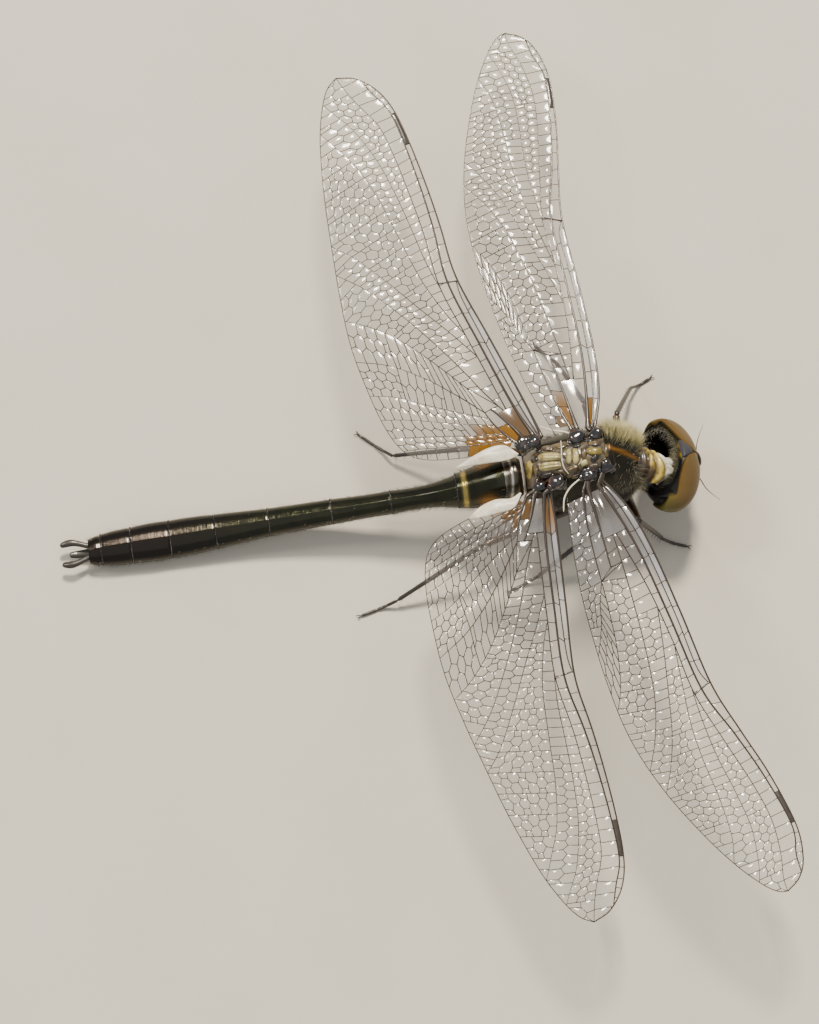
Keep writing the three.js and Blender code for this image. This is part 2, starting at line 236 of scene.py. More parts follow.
def soft_lamp(name, towards, distance_mm, size_mm, power, colour):
    """A square area lamp at a distance along a direction from the body's middle, facing it."""
    data = bpy.data.lights.new(name, "AREA")
    data.size = size_mm * MM
    data.energy = power
    data.color = linear(colour)[:3]
    lamp = bpy.data.objects.new(name, data)
    bpy.context.scene.collection.objects.link(lamp)
    lamp.matrix_world = look_from(body_middle + unit(towards) * distance_mm, body_middle)


soft_lamp("sun_lamp", (0.10, 0.56, 0.83), 700, 100, 9.2, "#FFF4E2")
soft_lamp("rear_lamp", (-0.60, 0.36, 0.70), 700, 150, 2.2, "#FFF8EC")
soft_lamp("soft_box", (-0.15, -0.25, 0.95), 600, 520, 0.45, "#F6F4EE")

world = bpy.data.worlds.new("studio_room")
world.use_nodes = True
world.node_tree.nodes["Background"].inputs["Color"].default_value = linear("#E8EAEE")
world.node_tree.nodes["Background"].inputs["Strength"].default_value = 0.72
bpy.context.scene.world = world

# Painted board: matt, with a faint mottle about a centimetre wide.
floor_paint = make_finish("floor_matt_paint", (90.0, 3.0), ("#B9B2A4", "#C3BDB0"), {"Roughness": 0.9})

floor_half = 900.0
floor_drop = 0.02             # just under the feet, so that they don't share its plane
floor_corners = np.array([[-1, -1], [1, -1], [1, 1], [-1, 1]]) * floor_half
floor_points = np.column_stack([floor_corners, np.full(4, -floor_drop)])
floor = make_piece("floor", [{"points": floor_points, "faces": [np.array([[0, 1, 2, 3]])]}], floor_paint,
                   open_up=True)


# ---- Thorax --------------------------------------------------------------------------------
# The wing-bearing thorax is one case of fused plates, dark metallic green over brown, with seams
# on its sides and a keel down the front of its back. Its wing muscles give it its bulk.

thorax_rings = np.array([
    # along, top, keel, half width
    [-3.45, 8.3, 4.9, 1.45], [-2.5, 9.5, 4.2, 2.05], [-1.2, 9.9, 3.4, 2.45], [0.3, 10.1, 2.8, 2.65],
    [1.8, 10.3, 2.6, 2.7], [3.0, 10.0, 3.0, 2.6], [4.0, 9.3, 4.0, 2.3], [4.6, 8.7, 5.4, 1.85],
    [4.95, 8.2, 6.3, 1.25]])
thorax_lean = 0.08
lean_pivot = 6.2


def along_points(points, place):
    """A smooth curve through points (n, k), read at place in steps of one point: a uniform
    Catmull-Rom curve, whose ends run on straight."""
    points = np.asarray(points, float)
    place = np.clip(place, 0, len(points) - 1 - 1e-9)
    padded = np.concatenate([[2 * points[0] - points[1]], points, [2 * points[-1] - points[-2]]])
    step = np.floor(place).astype(int)
    t = (place - step)[..., None]
    a, b, c, d = (padded[step + k] for k in range(4))
    return 0.5 * (2 * b + (c - a) * t + (2 * a - 5 * b + 4 * c - d) * t ** 2
                  + (3 * b - a - 3 * c + d) * t ** 3)


def all_round(rows, sides, start=0.0, stop=1.0):
    """The grid of a closed skin: a place from start to stop for each ring, and the angle round it."""
    return np.meshgrid(np.linspace(start, stop, rows), np.linspace(0, 2 * np.pi, sides, endpoint=False),
                       indexing="ij")


def ring_quads(sides, starts):
    """Quads between a ring of points and the next one. starts numbers each ring's first point."""
    side = np.arange(sides)
    after = (side + 1) % sides
    quads = np.stack([side, after, after + sides, side + sides], 1)
    return (quads[None] + np.asarray(starts)[:, None, None]).reshape(-1, 4)


def skin(points, marks=None):
    """A closed shell from rings of points (rings, sides, 3): quads between the rings, and a fan to
    the middle of the first and last ring. marks holds a number for each grid point."""
    rings, sides = points.shape[:2]
    ends = np.stack([points[0].mean(0), points[-1].mean(0)])
    side = np.arange(sides)
    after = (side + 1) % sides
    first = np.stack([np.full(sides, rings * sides), after, side], 1)
    base = (rings - 1) * sides
    last = np.stack([np.full(sides, rings * sides + 1), base + side, base + after], 1)
    spread = {key: np.concatenate([value.reshape(rings * sides, -1),
                                   value[0].reshape(sides, -1).mean(0)[None],
                                   value[-1].reshape(sides, -1).mean(0)[None]])
              for key, value in (marks or {}).items()}
    return {"points": np.concatenate([points.reshape(-1, 3), ends]),
            "faces": [ring_quads(sides, np.arange(rings - 1) * sides), first, last], "marks": spread}


def smooth_step(x):
    """0 below 0, 1 above 1 and a smooth rise between."""
    x = np.clip(x, 0, 1)
    return x * x * (3 - 2 * x)


def ridge(x, middle, width):
    """A soft ridge or line across x: a bell of the given width."""
    return np.exp(-((x - middle) / width) ** 2)


def thorax_surface(t, angle):
    """The bare case: an ellipse round the body at t of its length, narrower above, leaning left with
    height. angle is 90 degrees at the back and 180 on the animal's left."""
    ring = along_points(thorax_rings, t * (len(thorax_rings) - 1))
    x, top, keel, half = (ring[..., k] for k in range(4))
    rise = np.sin(angle)
    narrowing = 1 - 0.16 * np.maximum(rise, 0)
    z = (top + keel) / 2 + (top - keel) / 2 * rise
    return np.stack([x, thorax_lean * (z - lean_pivot) - half * narrowing * np.cos(angle), z], -1)


def normals_of(surface, t, angle, outward):
    """Unit normals of a surface of t and angle, from its two slopes, on the side outward points to."""
    step = 1e-3
    along = surface(t + step, angle) - surface(t - step, angle)
    around = surface(t, angle + step) - surface(t, angle - step)
    normal = unit(np.cross(around, along))
    return normal * np.where((normal * outward).sum(-1, keepdims=True) < 0, -1, 1)


t, angle = all_round(150, 140, 0.002, 0.998)
base = thorax_surface(t, angle)
x, y, z = (base[..., k] for k in range(3))
middle_line = thorax_lean * (z - lean_pivot)
side_way = np.abs(y - middle_line)
upper = smooth_step((np.sin(angle) - 0.2) / 0.3)

keel_line = ridge(y, middle_line, 0.09) * smooth_step((x - 2.7) / 0.4) * upper
collar = ridge(x, 2.75 + 0.1 * side_way, 0.16) * upper * smooth_step((1.9 - side_way) / 0.5)
shoulder_seam = ridge(x, 2.15 + 0.30 * (z - 6.0), 0.12) * (1 - upper)
side_seam = ridge(x, 0.15 + 0.38 * (z - 6.0), 0.12) * (1 - upper)
rear_seam = ridge(x, -1.75 + 0.34 * (z - 6.0), 0.12) * (1 - upper)
roof = upper * smooth_step((1.55 - side_way) / 0.4) * smooth_step((2.6 - x) / 0.3)
breast = ridge(y, middle_line, 0.12) * smooth_step((4.4 - z) / 0.6)
relief = (0.10 * keel_line + 0.12 * collar - 0.13 * (shoulder_seam + side_seam + rear_seam) - 0.16 * roof
          - 0.1 * breast)
outward = np.stack([0 * angle, -np.cos(angle), np.sin(angle)], -1)
thorax_points = base + normals_of(thorax_surface, t, angle, outward) * relief[..., None]

stripe_marks = {
    "stripe": np.clip(0.9 * ridge(y, middle_line + 0.16 - 0.32 * (x - 2.9), 0.17)
                      * smooth_step((x - 2.3) / 0.4) * upper, 0, 1),
    "roof": roof,
    "seam": np.clip(shoulder_seam + side_seam + rear_seam + breast, 0, 1),
    "belly": smooth_step((4.6 - z) / 1.4),
}

# Hard horny cuticle with a structural green gloss: a dark base, a metallic share and a clear coat.
# The wrinkles are 0.12 mm wide, coarser than the real grain, so that they show.
thorax_cuticle = make_finish(
    "thorax_metallic_green_cuticle", (700.0, 4.0), ("#070A07", "#1D1B0D"),
    {"Metallic": 0.3, "Roughness": 0.3, "Specular IOR Level": 0.2, "Coat Weight": 0.1},
    marks=(("belly", "#4A3B22"), ("roof", "#2E2614"), ("seam", "#0B0A07"), ("stripe", "#6A460E")),
    grain=("ShaderNodeTexNoise", {"Scale": 8000.0, "Detail": 3.0}), relief=(0.5, 0.05))

thorax = make_piece("thorax_case", [skin(thorax_points, stripe_marks)], thorax_cuticle)
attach(thorax, "root")
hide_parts("pterothorax")


# ---- Plates of the back --------------------------------------------------------------------
# Between the wings the back is paved with small domed plates, olive yellow and finely ribbed while
# the insect is young. They are set in brown membrane with white folds, and dark glossy lumps of
# hard cuticle make the hinge of each wing.

rings = along_points(thorax_rings, np.linspace(0, len(thorax_rings) - 1, 300))
paving_plates = [
    # x, y, length, width, height, turn in degrees, ribs along it, finish
    (-1.58, 0.54, 1.72, 0.66, 0.27, -10, 3, "pale"), (-1.66, -0.14, 1.62, 0.62, 0.25, -2, 3, "pale"),
    (-0.22, 0.34, 0.46, 1.12, 0.26, -8, 0, "pale"), (0.24, 0.28, 0.50, 1.20, 0.28, -8, 0, "pale"),
    (1.62, 0.40, 1.15, 0.60, 0.26, -12, 0, "yellow"), (1.70, 0.98, 0.90, 0.46, 0.18, -14, 0, "brown"),
    (0.86, 0.42, 0.42, 0.86, 0.16, -6, 0, "brown"), (0.78, -0.34, 0.52, 0.46, 0.16, 20, 0, "pale"),
    (-3.12, 0.02, 0.42, 1.25, 0.22, -6, 0, "yellow"), (-2.66, 0.62, 0.46, 0.50, 0.20, 20, 0, "dark"),
    (-2.72, -0.36, 0.34, 0.60, 0.16, 0, 0, "brown"), (2.56, 0.36, 0.50, 1.05, 0.18, -10, 0, "brown"),
    (-0.10, -0.62, 0.95, 0.52, 0.20, 14, 2, "brown"), (-0.95, -0.76, 0.62, 0.44, 0.18, -20, 0, "brown"),
    (-1.95, -0.82, 0.80, 0.46, 0.18, 10, 0, "dark"), (-2.45, -1.15, 0.60, 0.46, 0.18, -16, 0, "brown"),
    (-0.62, 1.30, 0.92, 0.62, 0.22, 12, 0, "brown"), (-1.62, 1.28, 0.90, 0.50, 0.22, -12, 2, "brown"),
    (-2.30, 1.34, 0.56, 0.60, 0.20, 8, 0, "dark"), (0.45, 1.10, 0.60, 0.46, 0.18, 0, 0, "dark"),
    (1.55, -0.12, 0.62, 0.42, 0.18, 30, 0, "dark"), (1.30, 1.38, 0.80, 0.40, 0.18, -10, 0, "dark"),
    (1.45, -0.75, 0.70, 0.50, 0.16, 0, 0, "brown"), (0.10, -1.20, 0.70, 0.46, 0.16, 12, 0, "brown"),
]
finishes = ("pale", "yellow", "brown", "dark")
grid_x, grid_u = np.meshgrid(np.linspace(-3.38, 2.86, 250), np.linspace(-1.75, 1.75, 150), indexing="ij")
top, keel, half = (np.interp(grid_x, rings[:, 0], rings[:, k]) for k in (1, 2, 3))
bulge = np.sqrt(np.clip(1 - (grid_u / (half * 0.86)) ** 2, 0.05, 1))
grid_z = (top + keel) / 2 + (top - keel) / 2 * bulge - 0.10
grid_y = grid_u + thorax_lean * (grid_z - lean_pivot)

# Each plate is a dome over a squared oval. Where two meet the higher one shows, so that a groove
# runs between them.
rise = np.zeros_like(grid_x)
paving_marks = {finish: np.zeros_like(grid_x) for finish in finishes}
for x, y, length, width, height, turn_deg, ribs, finish in paving_plates:
    turn = np.radians(turn_deg)
    along = (grid_x - x) * np.cos(turn) + (grid_y - y) * np.sin(turn)
    across = (grid_y - y) * np.cos(turn) - (grid_x - x) * np.sin(turn)
    inside = np.clip(1 - np.abs(2 * along / length) ** 2.6 - np.abs(2 * across / width) ** 2.6, 0, 1)
    dome = height * inside ** 0.55
    if ribs:
        dome = dome + 0.03 * np.cos(2 * np.pi * ribs * (across / width + 0.5)) * inside ** 0.5
    on_top = (dome > rise) & (inside > 0.02)
    rise = np.where(on_top, dome, rise)
    for name in finishes:
        paving_marks[name] = np.where(on_top, float(name == finish), paving_marks[name])
folds = 0.03 * np.sin(7.0 * grid_x + 3.0 * np.sin(2.3 * grid_y)) * np.sin(6.0 * grid_y + 1.3)
rim_fall = 0.5 * smooth_step((np.abs(grid_u) - 1.35) / 0.4)
grid_z = grid_z + rise + folds * (rise < 0.05) - rim_fall
paving = np.stack([grid_x, grid_y, grid_z], -1)
paving_thickness = 0.7        # its underside lies hidden inside the thorax case
under = paving - np.array([0, 0, paving_thickness])
paving_skin = np.concatenate([paving, under[:, ::-1]], 1)
paving_marks = {name: np.concatenate([mark, np.zeros_like(mark)], 1) for name, mark in paving_marks.items()}

# Soft young cuticle, satin under a moist gloss, set in brown membrane. Painted shade darkens the grooves
# between the plates.
plate_cuticle = make_finish(
    "plate_olive_cuticle", (1700.0, 4.0), ("#1A1209", "#56492F"),
    {"Roughness": 0.32, "Subsurface Weight": 0.1, "Subsurface Scale": 0.15 * MM,
     "Coat Weight": 0.6, "Coat Roughness": 0.12},
    contrast=(0.36, 0.64),
    marks=(("pale", "#77693A", "#B3A872"), ("yellow", "#63561C", "#A58F3C"),
           ("brown", "#171007", "#5C4B26"), ("dark", "#060504", "#1E150B")),
    hollow=(0.22, 0.35, 0.8, "#1E130A"), relief=(0.5, 0.035))

back_paving = make_piece("back_plates", [skin(paving_skin, paving_marks)], plate_cuticle)
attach(back_paving, "root")

hinge_knobs = {
    # front and rear knob of each wing: centre, then length, width and height
    "fore_left": [((2.02, 1.72, 9.42), (1.05, 0.86, 0.50)), ((0.55, 1.72, 9.45), (1.15, 1.05, 0.56))],
    "fore_right": [((2.32, -0.62, 9.66), (1.05, 1.00, 0.54)), ((1.02, -1.02, 9.60), (1.25, 0.95, 0.50))],
    "hind_left": [((-2.62, 1.86, 9.06), (1.00, 0.80, 0.42)), ((-3.30, 2.05, 8.72), (0.90, 0.95, 0.42))],
    "hind_right": [((-1.28, -1.30, 9.40), (1.15, 1.10, 0.52)), ((-2.55, -1.40, 9.06), (0.95, 0.80, 0.42))],
}


def ball(rows, sides, margin):
    """Points of a unit ball, its poles on the first axis and its rings margin off them."""
    polar, around = all_round(rows, sides, margin, np.pi - margin)
    return np.stack([np.cos(polar), np.sin(polar) * np.cos(around), np.sin(polar) * np.sin(around)], -1)


def lump(centre, radii, turn_deg, seed):
    """A hard knob: an ellipsoid pushed in and out by three slow waves, so that no two are alike."""
    knob = ball(30, 40, 0.03)
    waves = np.random.default_rng(seed)
    push = sum(0.09 * np.sin(knob @ waves.normal(0, 2.6, 3) + waves.uniform(0, 6)) for _ in range(3))
    turn = np.radians(turn_deg)
    local = knob * (1 + push[..., None]) * np.asarray(radii)
    x = local[..., 0] * np.cos(turn) - local[..., 1] * np.sin(turn)
    y = local[..., 0] * np.sin(turn) + local[..., 1] * np.cos(turn)
    return skin(np.stack([x, y, local[..., 2]], -1) + np.asarray(centre))


# Hardened cuticle of the hinges: near black, red-brown where it is thin, under a polished surface.
hinge_cuticle = make_finish(
    "hinge_polished_brown_cuticle", (1500.0, 3.0), ("#070504", "#3A1E0C"),
    {"Roughness": 0.16, "Coat Weight": 1.0, "Coat Roughness": 0.06},
    contrast=(0.5, 0.72), relief=(0.45, 0.04))

knob_shells = []
knob_parts = np.array([
    # offset along, across and up as a share of the knob, then its size as a share
    [0.04, 0.02, 0.04, 0.78], [-0.38, -0.22, -0.16, 0.42],
    [0.36, -0.28, -0.18, 0.38], [-0.14, 0.40, -0.14, 0.40]])
for number, (centre, size) in enumerate(pair for pairs in hinge_knobs.values() for pair in pairs):
    for part, (along, across, up, scale) in enumerate(knob_parts):
        place = np.array(centre) + np.array([along, across, up]) * size
        radii = np.array(size) * scale * (0.72, 0.72, 1.05)
        knob_shells.append(lump(place, radii, 37 * part, 10 * number + part))
knobs = make_piece("wing_hinge_knobs", knob_shells, hinge_cuticle)
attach(knobs, "root")


def tube(path, radius, sides=8, flat=1.0):
    """A closed round skin along a path (n, 3): rings set square to it and level across, with radius
    a number or one for each point. flat is the ring's height over its width."""
    path = np.asarray(path, float)
    radius = np.broadcast_to(radius, len(path))
    tangent = unit(np.gradient(path, axis=0), 1e-12)
    side = unit(np.cross(tangent, [0, 0, 1.0]), 1e-12)
    above = np.cross(side, tangent)
    around = np.linspace(0, 2 * np.pi, sides, endpoint=False)[None, :, None]
    ring = side[:, None] * np.cos(around) + above[:, None] * np.sin(around) * flat
    return path[:, None] + ring * radius[:, None, None]


# White articular membrane: tough, matt to satin, and lightly creased.
white_membrane = make_finish(
    "white_joint_membrane", (2600.0, 4.0), ("#A39880", "#E6E0D0"),
    {"Roughness": 0.38, "Subsurface Weight": 0.15, "Subsurface Scale": 0.2 * MM}, relief=(0.5, 0.04))

# White folds between the plates, and the cords that stiffen the rear edge of each wing's root.
membrane_paths = [
    # points, then the half thickness in the middle
    ([(-0.62, 1.62, 9.60), (-0.68, 0.95, 9.84), (-0.76, 0.30, 9.90), (-0.70, -0.40, 9.82),
      (-0.42, -0.9, 9.66)], 0.042),
    ([(0.66, 0.9, 9.92), (0.70, 0.45, 9.99), (0.64, -0.05, 9.97), (0.36, -0.38, 9.90)], 0.034),
    ([(0.72, -1.25, 9.60), (0.22, -1.42, 9.56), (-0.52, -1.92, 9.36), (-0.98, -2.6, 9.26),
      (-1.16, -3.5, 9.28)], 0.062),
    ([(0.30, 2.05, 9.35), (-0.30, 2.36, 9.10), (-1.10, 2.62, 8.95), (-1.95, 3.05, 8.86)], 0.060),
]
membrane_shells = []
for path, half_thick in membrane_paths:
    line = along_points(path, np.linspace(0, len(path) - 1, 36))
    thickness = half_thick * np.sin(np.pi * np.linspace(0.08, 0.92, 36)) ** 0.4
    membrane_shells.append(skin(tube(line, thickness, sides=10, flat=0.7)))
membranes = make_piece("back_membranes", membrane_shells, white_membrane)
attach(membranes, "root")


# ---- Neck ----------------------------------------------------------------------------------
# The first ring of the thorax is a small brown collar. The neck in front of it has curved yellow
# plates, then crumpled white membrane that enters the hollow back of the head.

neck_path = [(4.6, -0.25, 7.35), (5.15, -0.45, 7.2), (5.75, -0.72, 7.0), (6.4, -0.98, 6.6),
             (7.07, -1.15, 5.95)]
line = along_points(neck_path, np.linspace(0, 4, 90))
share, around = all_round(90, 96)
neck_radius = 1.15 - 0.15 * np.linspace(0, 1, 90)
neck_points = tube(line, neck_radius, sides=96)
# The tube's own angle is 90 degrees at the top, and 0 on the animal's right.
lobe = share + 0.08 - 0.13 * np.sin(around) - 0.09 * np.cos(around)
fold_way = 5 * around + 8 * share + 1.6 * np.sin(3 * around + 9 * share)
crumple = ((0.07 * np.sin(fold_way) + 0.05 * np.sin(1.7 * fold_way - 15 * share))
           * smooth_step((lobe - 0.6) / 0.12))
swell = (0.10 * ridge(lobe, 0.16, 0.07) + 0.12 * ridge(lobe, 0.34, 0.05) + 0.13 * ridge(lobe, 0.54, 0.055)
         - 0.12 * ridge(lobe, 0.45, 0.035) - 0.10 * ridge(lobe, 0.25, 0.03) + crumple)
middle = line[:, None]
neck_points = middle + (neck_points - middle) * (1 + swell)[..., None]
upper = smooth_step((np.sin(around) - 0.1) / 0.3)
left_half = smooth_step((0.35 - np.cos(around)) / 0.4)
streaks = smooth_step(np.sin(11 * around - 26 * share) / 0.6 + 0.5)
neck_marks = {
    "yellow": np.clip(1.3 * ridge(lobe, 0.545, 0.06) * upper
                      + ridge(lobe, 0.35, 0.08) * left_half * upper * (0.35 + 0.65 * streaks), 0, 1),
    "white": smooth_step((lobe - 0.615) / 0.03),
}
# Thin cuticle: dark brown, then a yellow plate, then white membrane towards the head. Painted shade darkens its
# folds.
neck_cuticle = make_finish(
    "neck_brown_yellow_cuticle", (1900.0, 4.0), ("#0E0905", "#4A351A"),
    {"Roughness": 0.36, "Coat Weight": 0.35}, contrast=(0.36, 0.64),
    marks=(("yellow", "#8E7420", "#D2BC5C"), ("white", "#766C55", "#DCD7C6")),
    hollow=(0.3, 0.35, 0.9, "#2A2013"), relief=(0.6, 0.05))

neck = make_piece("neck_collar", [skin(neck_points, neck_marks)], neck_cuticle)
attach(neck, "root")
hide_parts("prothorax")


# ---- Abdomen -------------------------------------------------------------------------------
# Ten horny rings telescope into each other: black with a bronze-green gloss, the second swollen,
# the third waisted and the seventh to ninth widened into a flat club that lies on the floor.

abdomen_joints = np.array([
    # along, sway, height of the middle, half width, half height
    [-3.65, 0.0, 6.5, 1.45, 1.65], [-4.75, -0.05, 6.3, 1.68, 1.78], [-8.2, -0.15, 5.3, 1.3, 1.35],
    [-13.1, -0.05, 3.85, 0.9, 1.0], [-17.5, 0.08, 2.75, 0.95, 0.93], [-22.2, 0.12, 1.83, 1.06, 0.95],
    [-26.2, 0.1, 1.2, 1.3, 1.02], [-29.6, 0.05, 0.9, 1.42, 1.05], [-32.5, 0.0, 0.88, 1.36, 1.02],
    [-34.8, -0.05, 0.9, 1.18, 0.88], [-35.85, -0.08, 0.95, 0.92, 0.7]])
ring_bulge = [0.02, 0.1, -0.2, -0.02, 0, 0, 0.02, 0.03, 0.02, 0.02]
ring_overlap = 0.18          # how far a ring's rear rim reaches over the next, in millimetres


def abdomen_surface(ring, t, angle):
    """One ring: an ellipse round the spine, swollen by the ring's bulge, with a tucked-in front
    collar, a raised rear rim and a faint keel above."""
    length = abdomen_joints[ring, 0] - abdomen_joints[ring + 1, 0]
    place = ring + t * (1 + ring_overlap / length)
    spine = along_points(abdomen_joints, place)
    swell = 1 + ring_bulge[ring] * np.sin(np.pi * np.clip(t, 0, 1))
    collar = 0.91 + 0.09 * smooth_step(t * length / 0.35)
    rim = 0.025 * smooth_step((t - 1) * length / 0.2 + 0.6)
    keel = 0.03 * ridge(angle, np.pi / 2, 0.10) * (ring > 1)
    size = swell * collar + rim + keel
    y = spine[..., 1] + spine[..., 3] * size * np.cos(angle)
    z = spine[..., 2] + spine[..., 4] * size * np.sin(angle)
    return np.stack([spine[..., 0], y, np.maximum(z, 0)], -1)


# Horny cuticle: near black with a bronze-green gloss, more coppery to the rear, and fine cross
# wrinkles 0.1 mm apart. Marks lay the pale ring, the white lines and the brown side patches on it.
ring_cuticle = make_finish(
    "abdomen_black_bronze_cuticle", (900.0, 5.0), ("#0A0B07", "#2A2B12"),
    {"Metallic": 0.8, "Roughness": 0.2, "Coat Weight": 0.3, "Coat Roughness": 0.12},
    marks=(("copper", "#181109"), ("grey", "#3E382E"), ("brown", "#6E4A14"), ("pale", "#9A8848"),
           ("white", "#CFCDC2")),
    grain=("ShaderNodeTexNoise", {"Scale": 1600.0, "Detail": 3.0}), stretch=(6.0, 1.0, 1.0),
    relief=(0.6, 0.05))

for ring in range(10):
    length = abdomen_joints[ring, 0] - abdomen_joints[ring + 1, 0]
    t, angle = all_round(max(24, int(length * 14)), 72)
    points = abdomen_surface(ring, t, angle)
    distance = t * length
    side_way = np.abs(np.cos(angle))
    marks = {name: np.zeros_like(t) for name in ("copper", "grey", "brown", "pale", "white")}
    marks["copper"] += smooth_step((ring + t - 4.2) / 3.4)
    if ring == 0:
        marks["grey"] = smooth_step((1.15 - side_way) / 0.4)
        bent = distance - 0.16 * side_way ** 2
        marks["white"] = ((0.7 * ridge(bent, 0.74, 0.045) + 0.25 * ridge(bent, 0.98, 0.03))
                          * smooth_step((np.sin(angle) + 0.2) / 0.3))
        marks["brown"] = 0.6 * smooth_step((side_way - 0.55) / 0.3) * smooth_step((0.5 - distance) / 0.2)
    if ring == 1:
        marks["pale"] = (np.clip(ridge(distance, 3.0, 0.12) * 1.5, 0, 1)
                         * smooth_step((np.sin(angle) + 0.9) / 0.3))
        marks["brown"] = (np.clip(1.5 * ridge(distance, 1.65, 0.5) * ridge(side_way, 0.82, 0.2), 0, 1)
                          * smooth_step((np.sin(angle) + 0.5) / 0.3))
    if 1 < ring < 9:
        marks["brown"] = 0.35 * smooth_step((-np.sin(angle) - 0.55) / 0.3)
    piece = make_piece(f"abdomen_ring_{ring + 1}", [skin(points, marks)], ring_cuticle)
    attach(piece, "root")
    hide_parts(f"abdomen_{ring + 1}")


# A row of tiny polished teeth, 0.08 mm wide, edges the rear rim of each ring but the first and last.
teeth_in_row = 34
tooth = ball(5, 7, 0.2) * (0.06, 0.042, 0.042)
rim_beads = []
for ring in range(1, 9):
    angle = np.linspace(np.radians(5), np.radians(175), teeth_in_row)
    seats = abdomen_surface(ring, np.ones(teeth_in_row), angle)
    rim_beads += [skin(seat + tooth) for seat in seats]
teeth = make_piece("abdomen_rim_teeth", rim_beads, hinge_cuticle)
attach(teeth, "root")


# ---- Claspers ------------------------------------------------------------------------------
# Three hooks at the tip with which a male holds a female: two long upper ones that bow outwards
# and a short lower one. They are of the same black cuticle, dull and finely haired.

tail = abdomen_joints[-1]
clasper_cuticle = make_finish("clasper_black_cuticle", (6000.0, 3.0), ("#0D0C09", "#2C2619"),
                              {"Roughness": 0.4, "Coat Weight": 0.3}, relief=(0.5, 0.04))

share = np.linspace(0, 1, 40)
rounded = np.sqrt(np.clip(1 - np.clip((share - 0.86) / 0.14, 0, 1) ** 2, 0.01, 1))
for side_name, side in (("left", 1), ("right", -1)):
    path = [tail[:3] + [0.15, side * 0.36, 0.2], tail[:3] + [-1.15, side * 0.8, 0.25],
            tail[:3] + [-2.1, side * 0.72, 0.12]]
    line = along_points(path, share * 2)
    thickness = (0.2 + 0.07 * ridge(share, 0.62, 0.25)) * rounded
    piece = make_piece(f"clasper_{side_name}", [skin(tube(line, thickness, sides=18, flat=0.8))],
                       clasper_cuticle)
    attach(piece, "root")
    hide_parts(f"cercus_{side_name}")
path = [tail[:3] + [0.15, 0, -0.32], tail[:3] + [-0.8, 0, -0.34], tail[:3] + [-1.5, 0, -0.22]]
line = along_points(path, share * 2)
thickness = (0.36 - 0.14 * share) * rounded
lower_clasper = make_piece("clasper_lower", [skin(tube(line, thickness, sides=20, flat=0.5))],
                           clasper_cuticle)
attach(lower_clasper, "root")
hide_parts("epiproct")


# ---- Wings ---------------------------------------------------------------------------------
# Each wing is a glass-clear film stretched over a net of dark tubular veins, pleated lengthwise so
# that a very thin sheet stays stiff. A dark stigma near the tip weights the leading edge, and at the
# root of each hindwing hangs a small opaque white flap, the membranule.

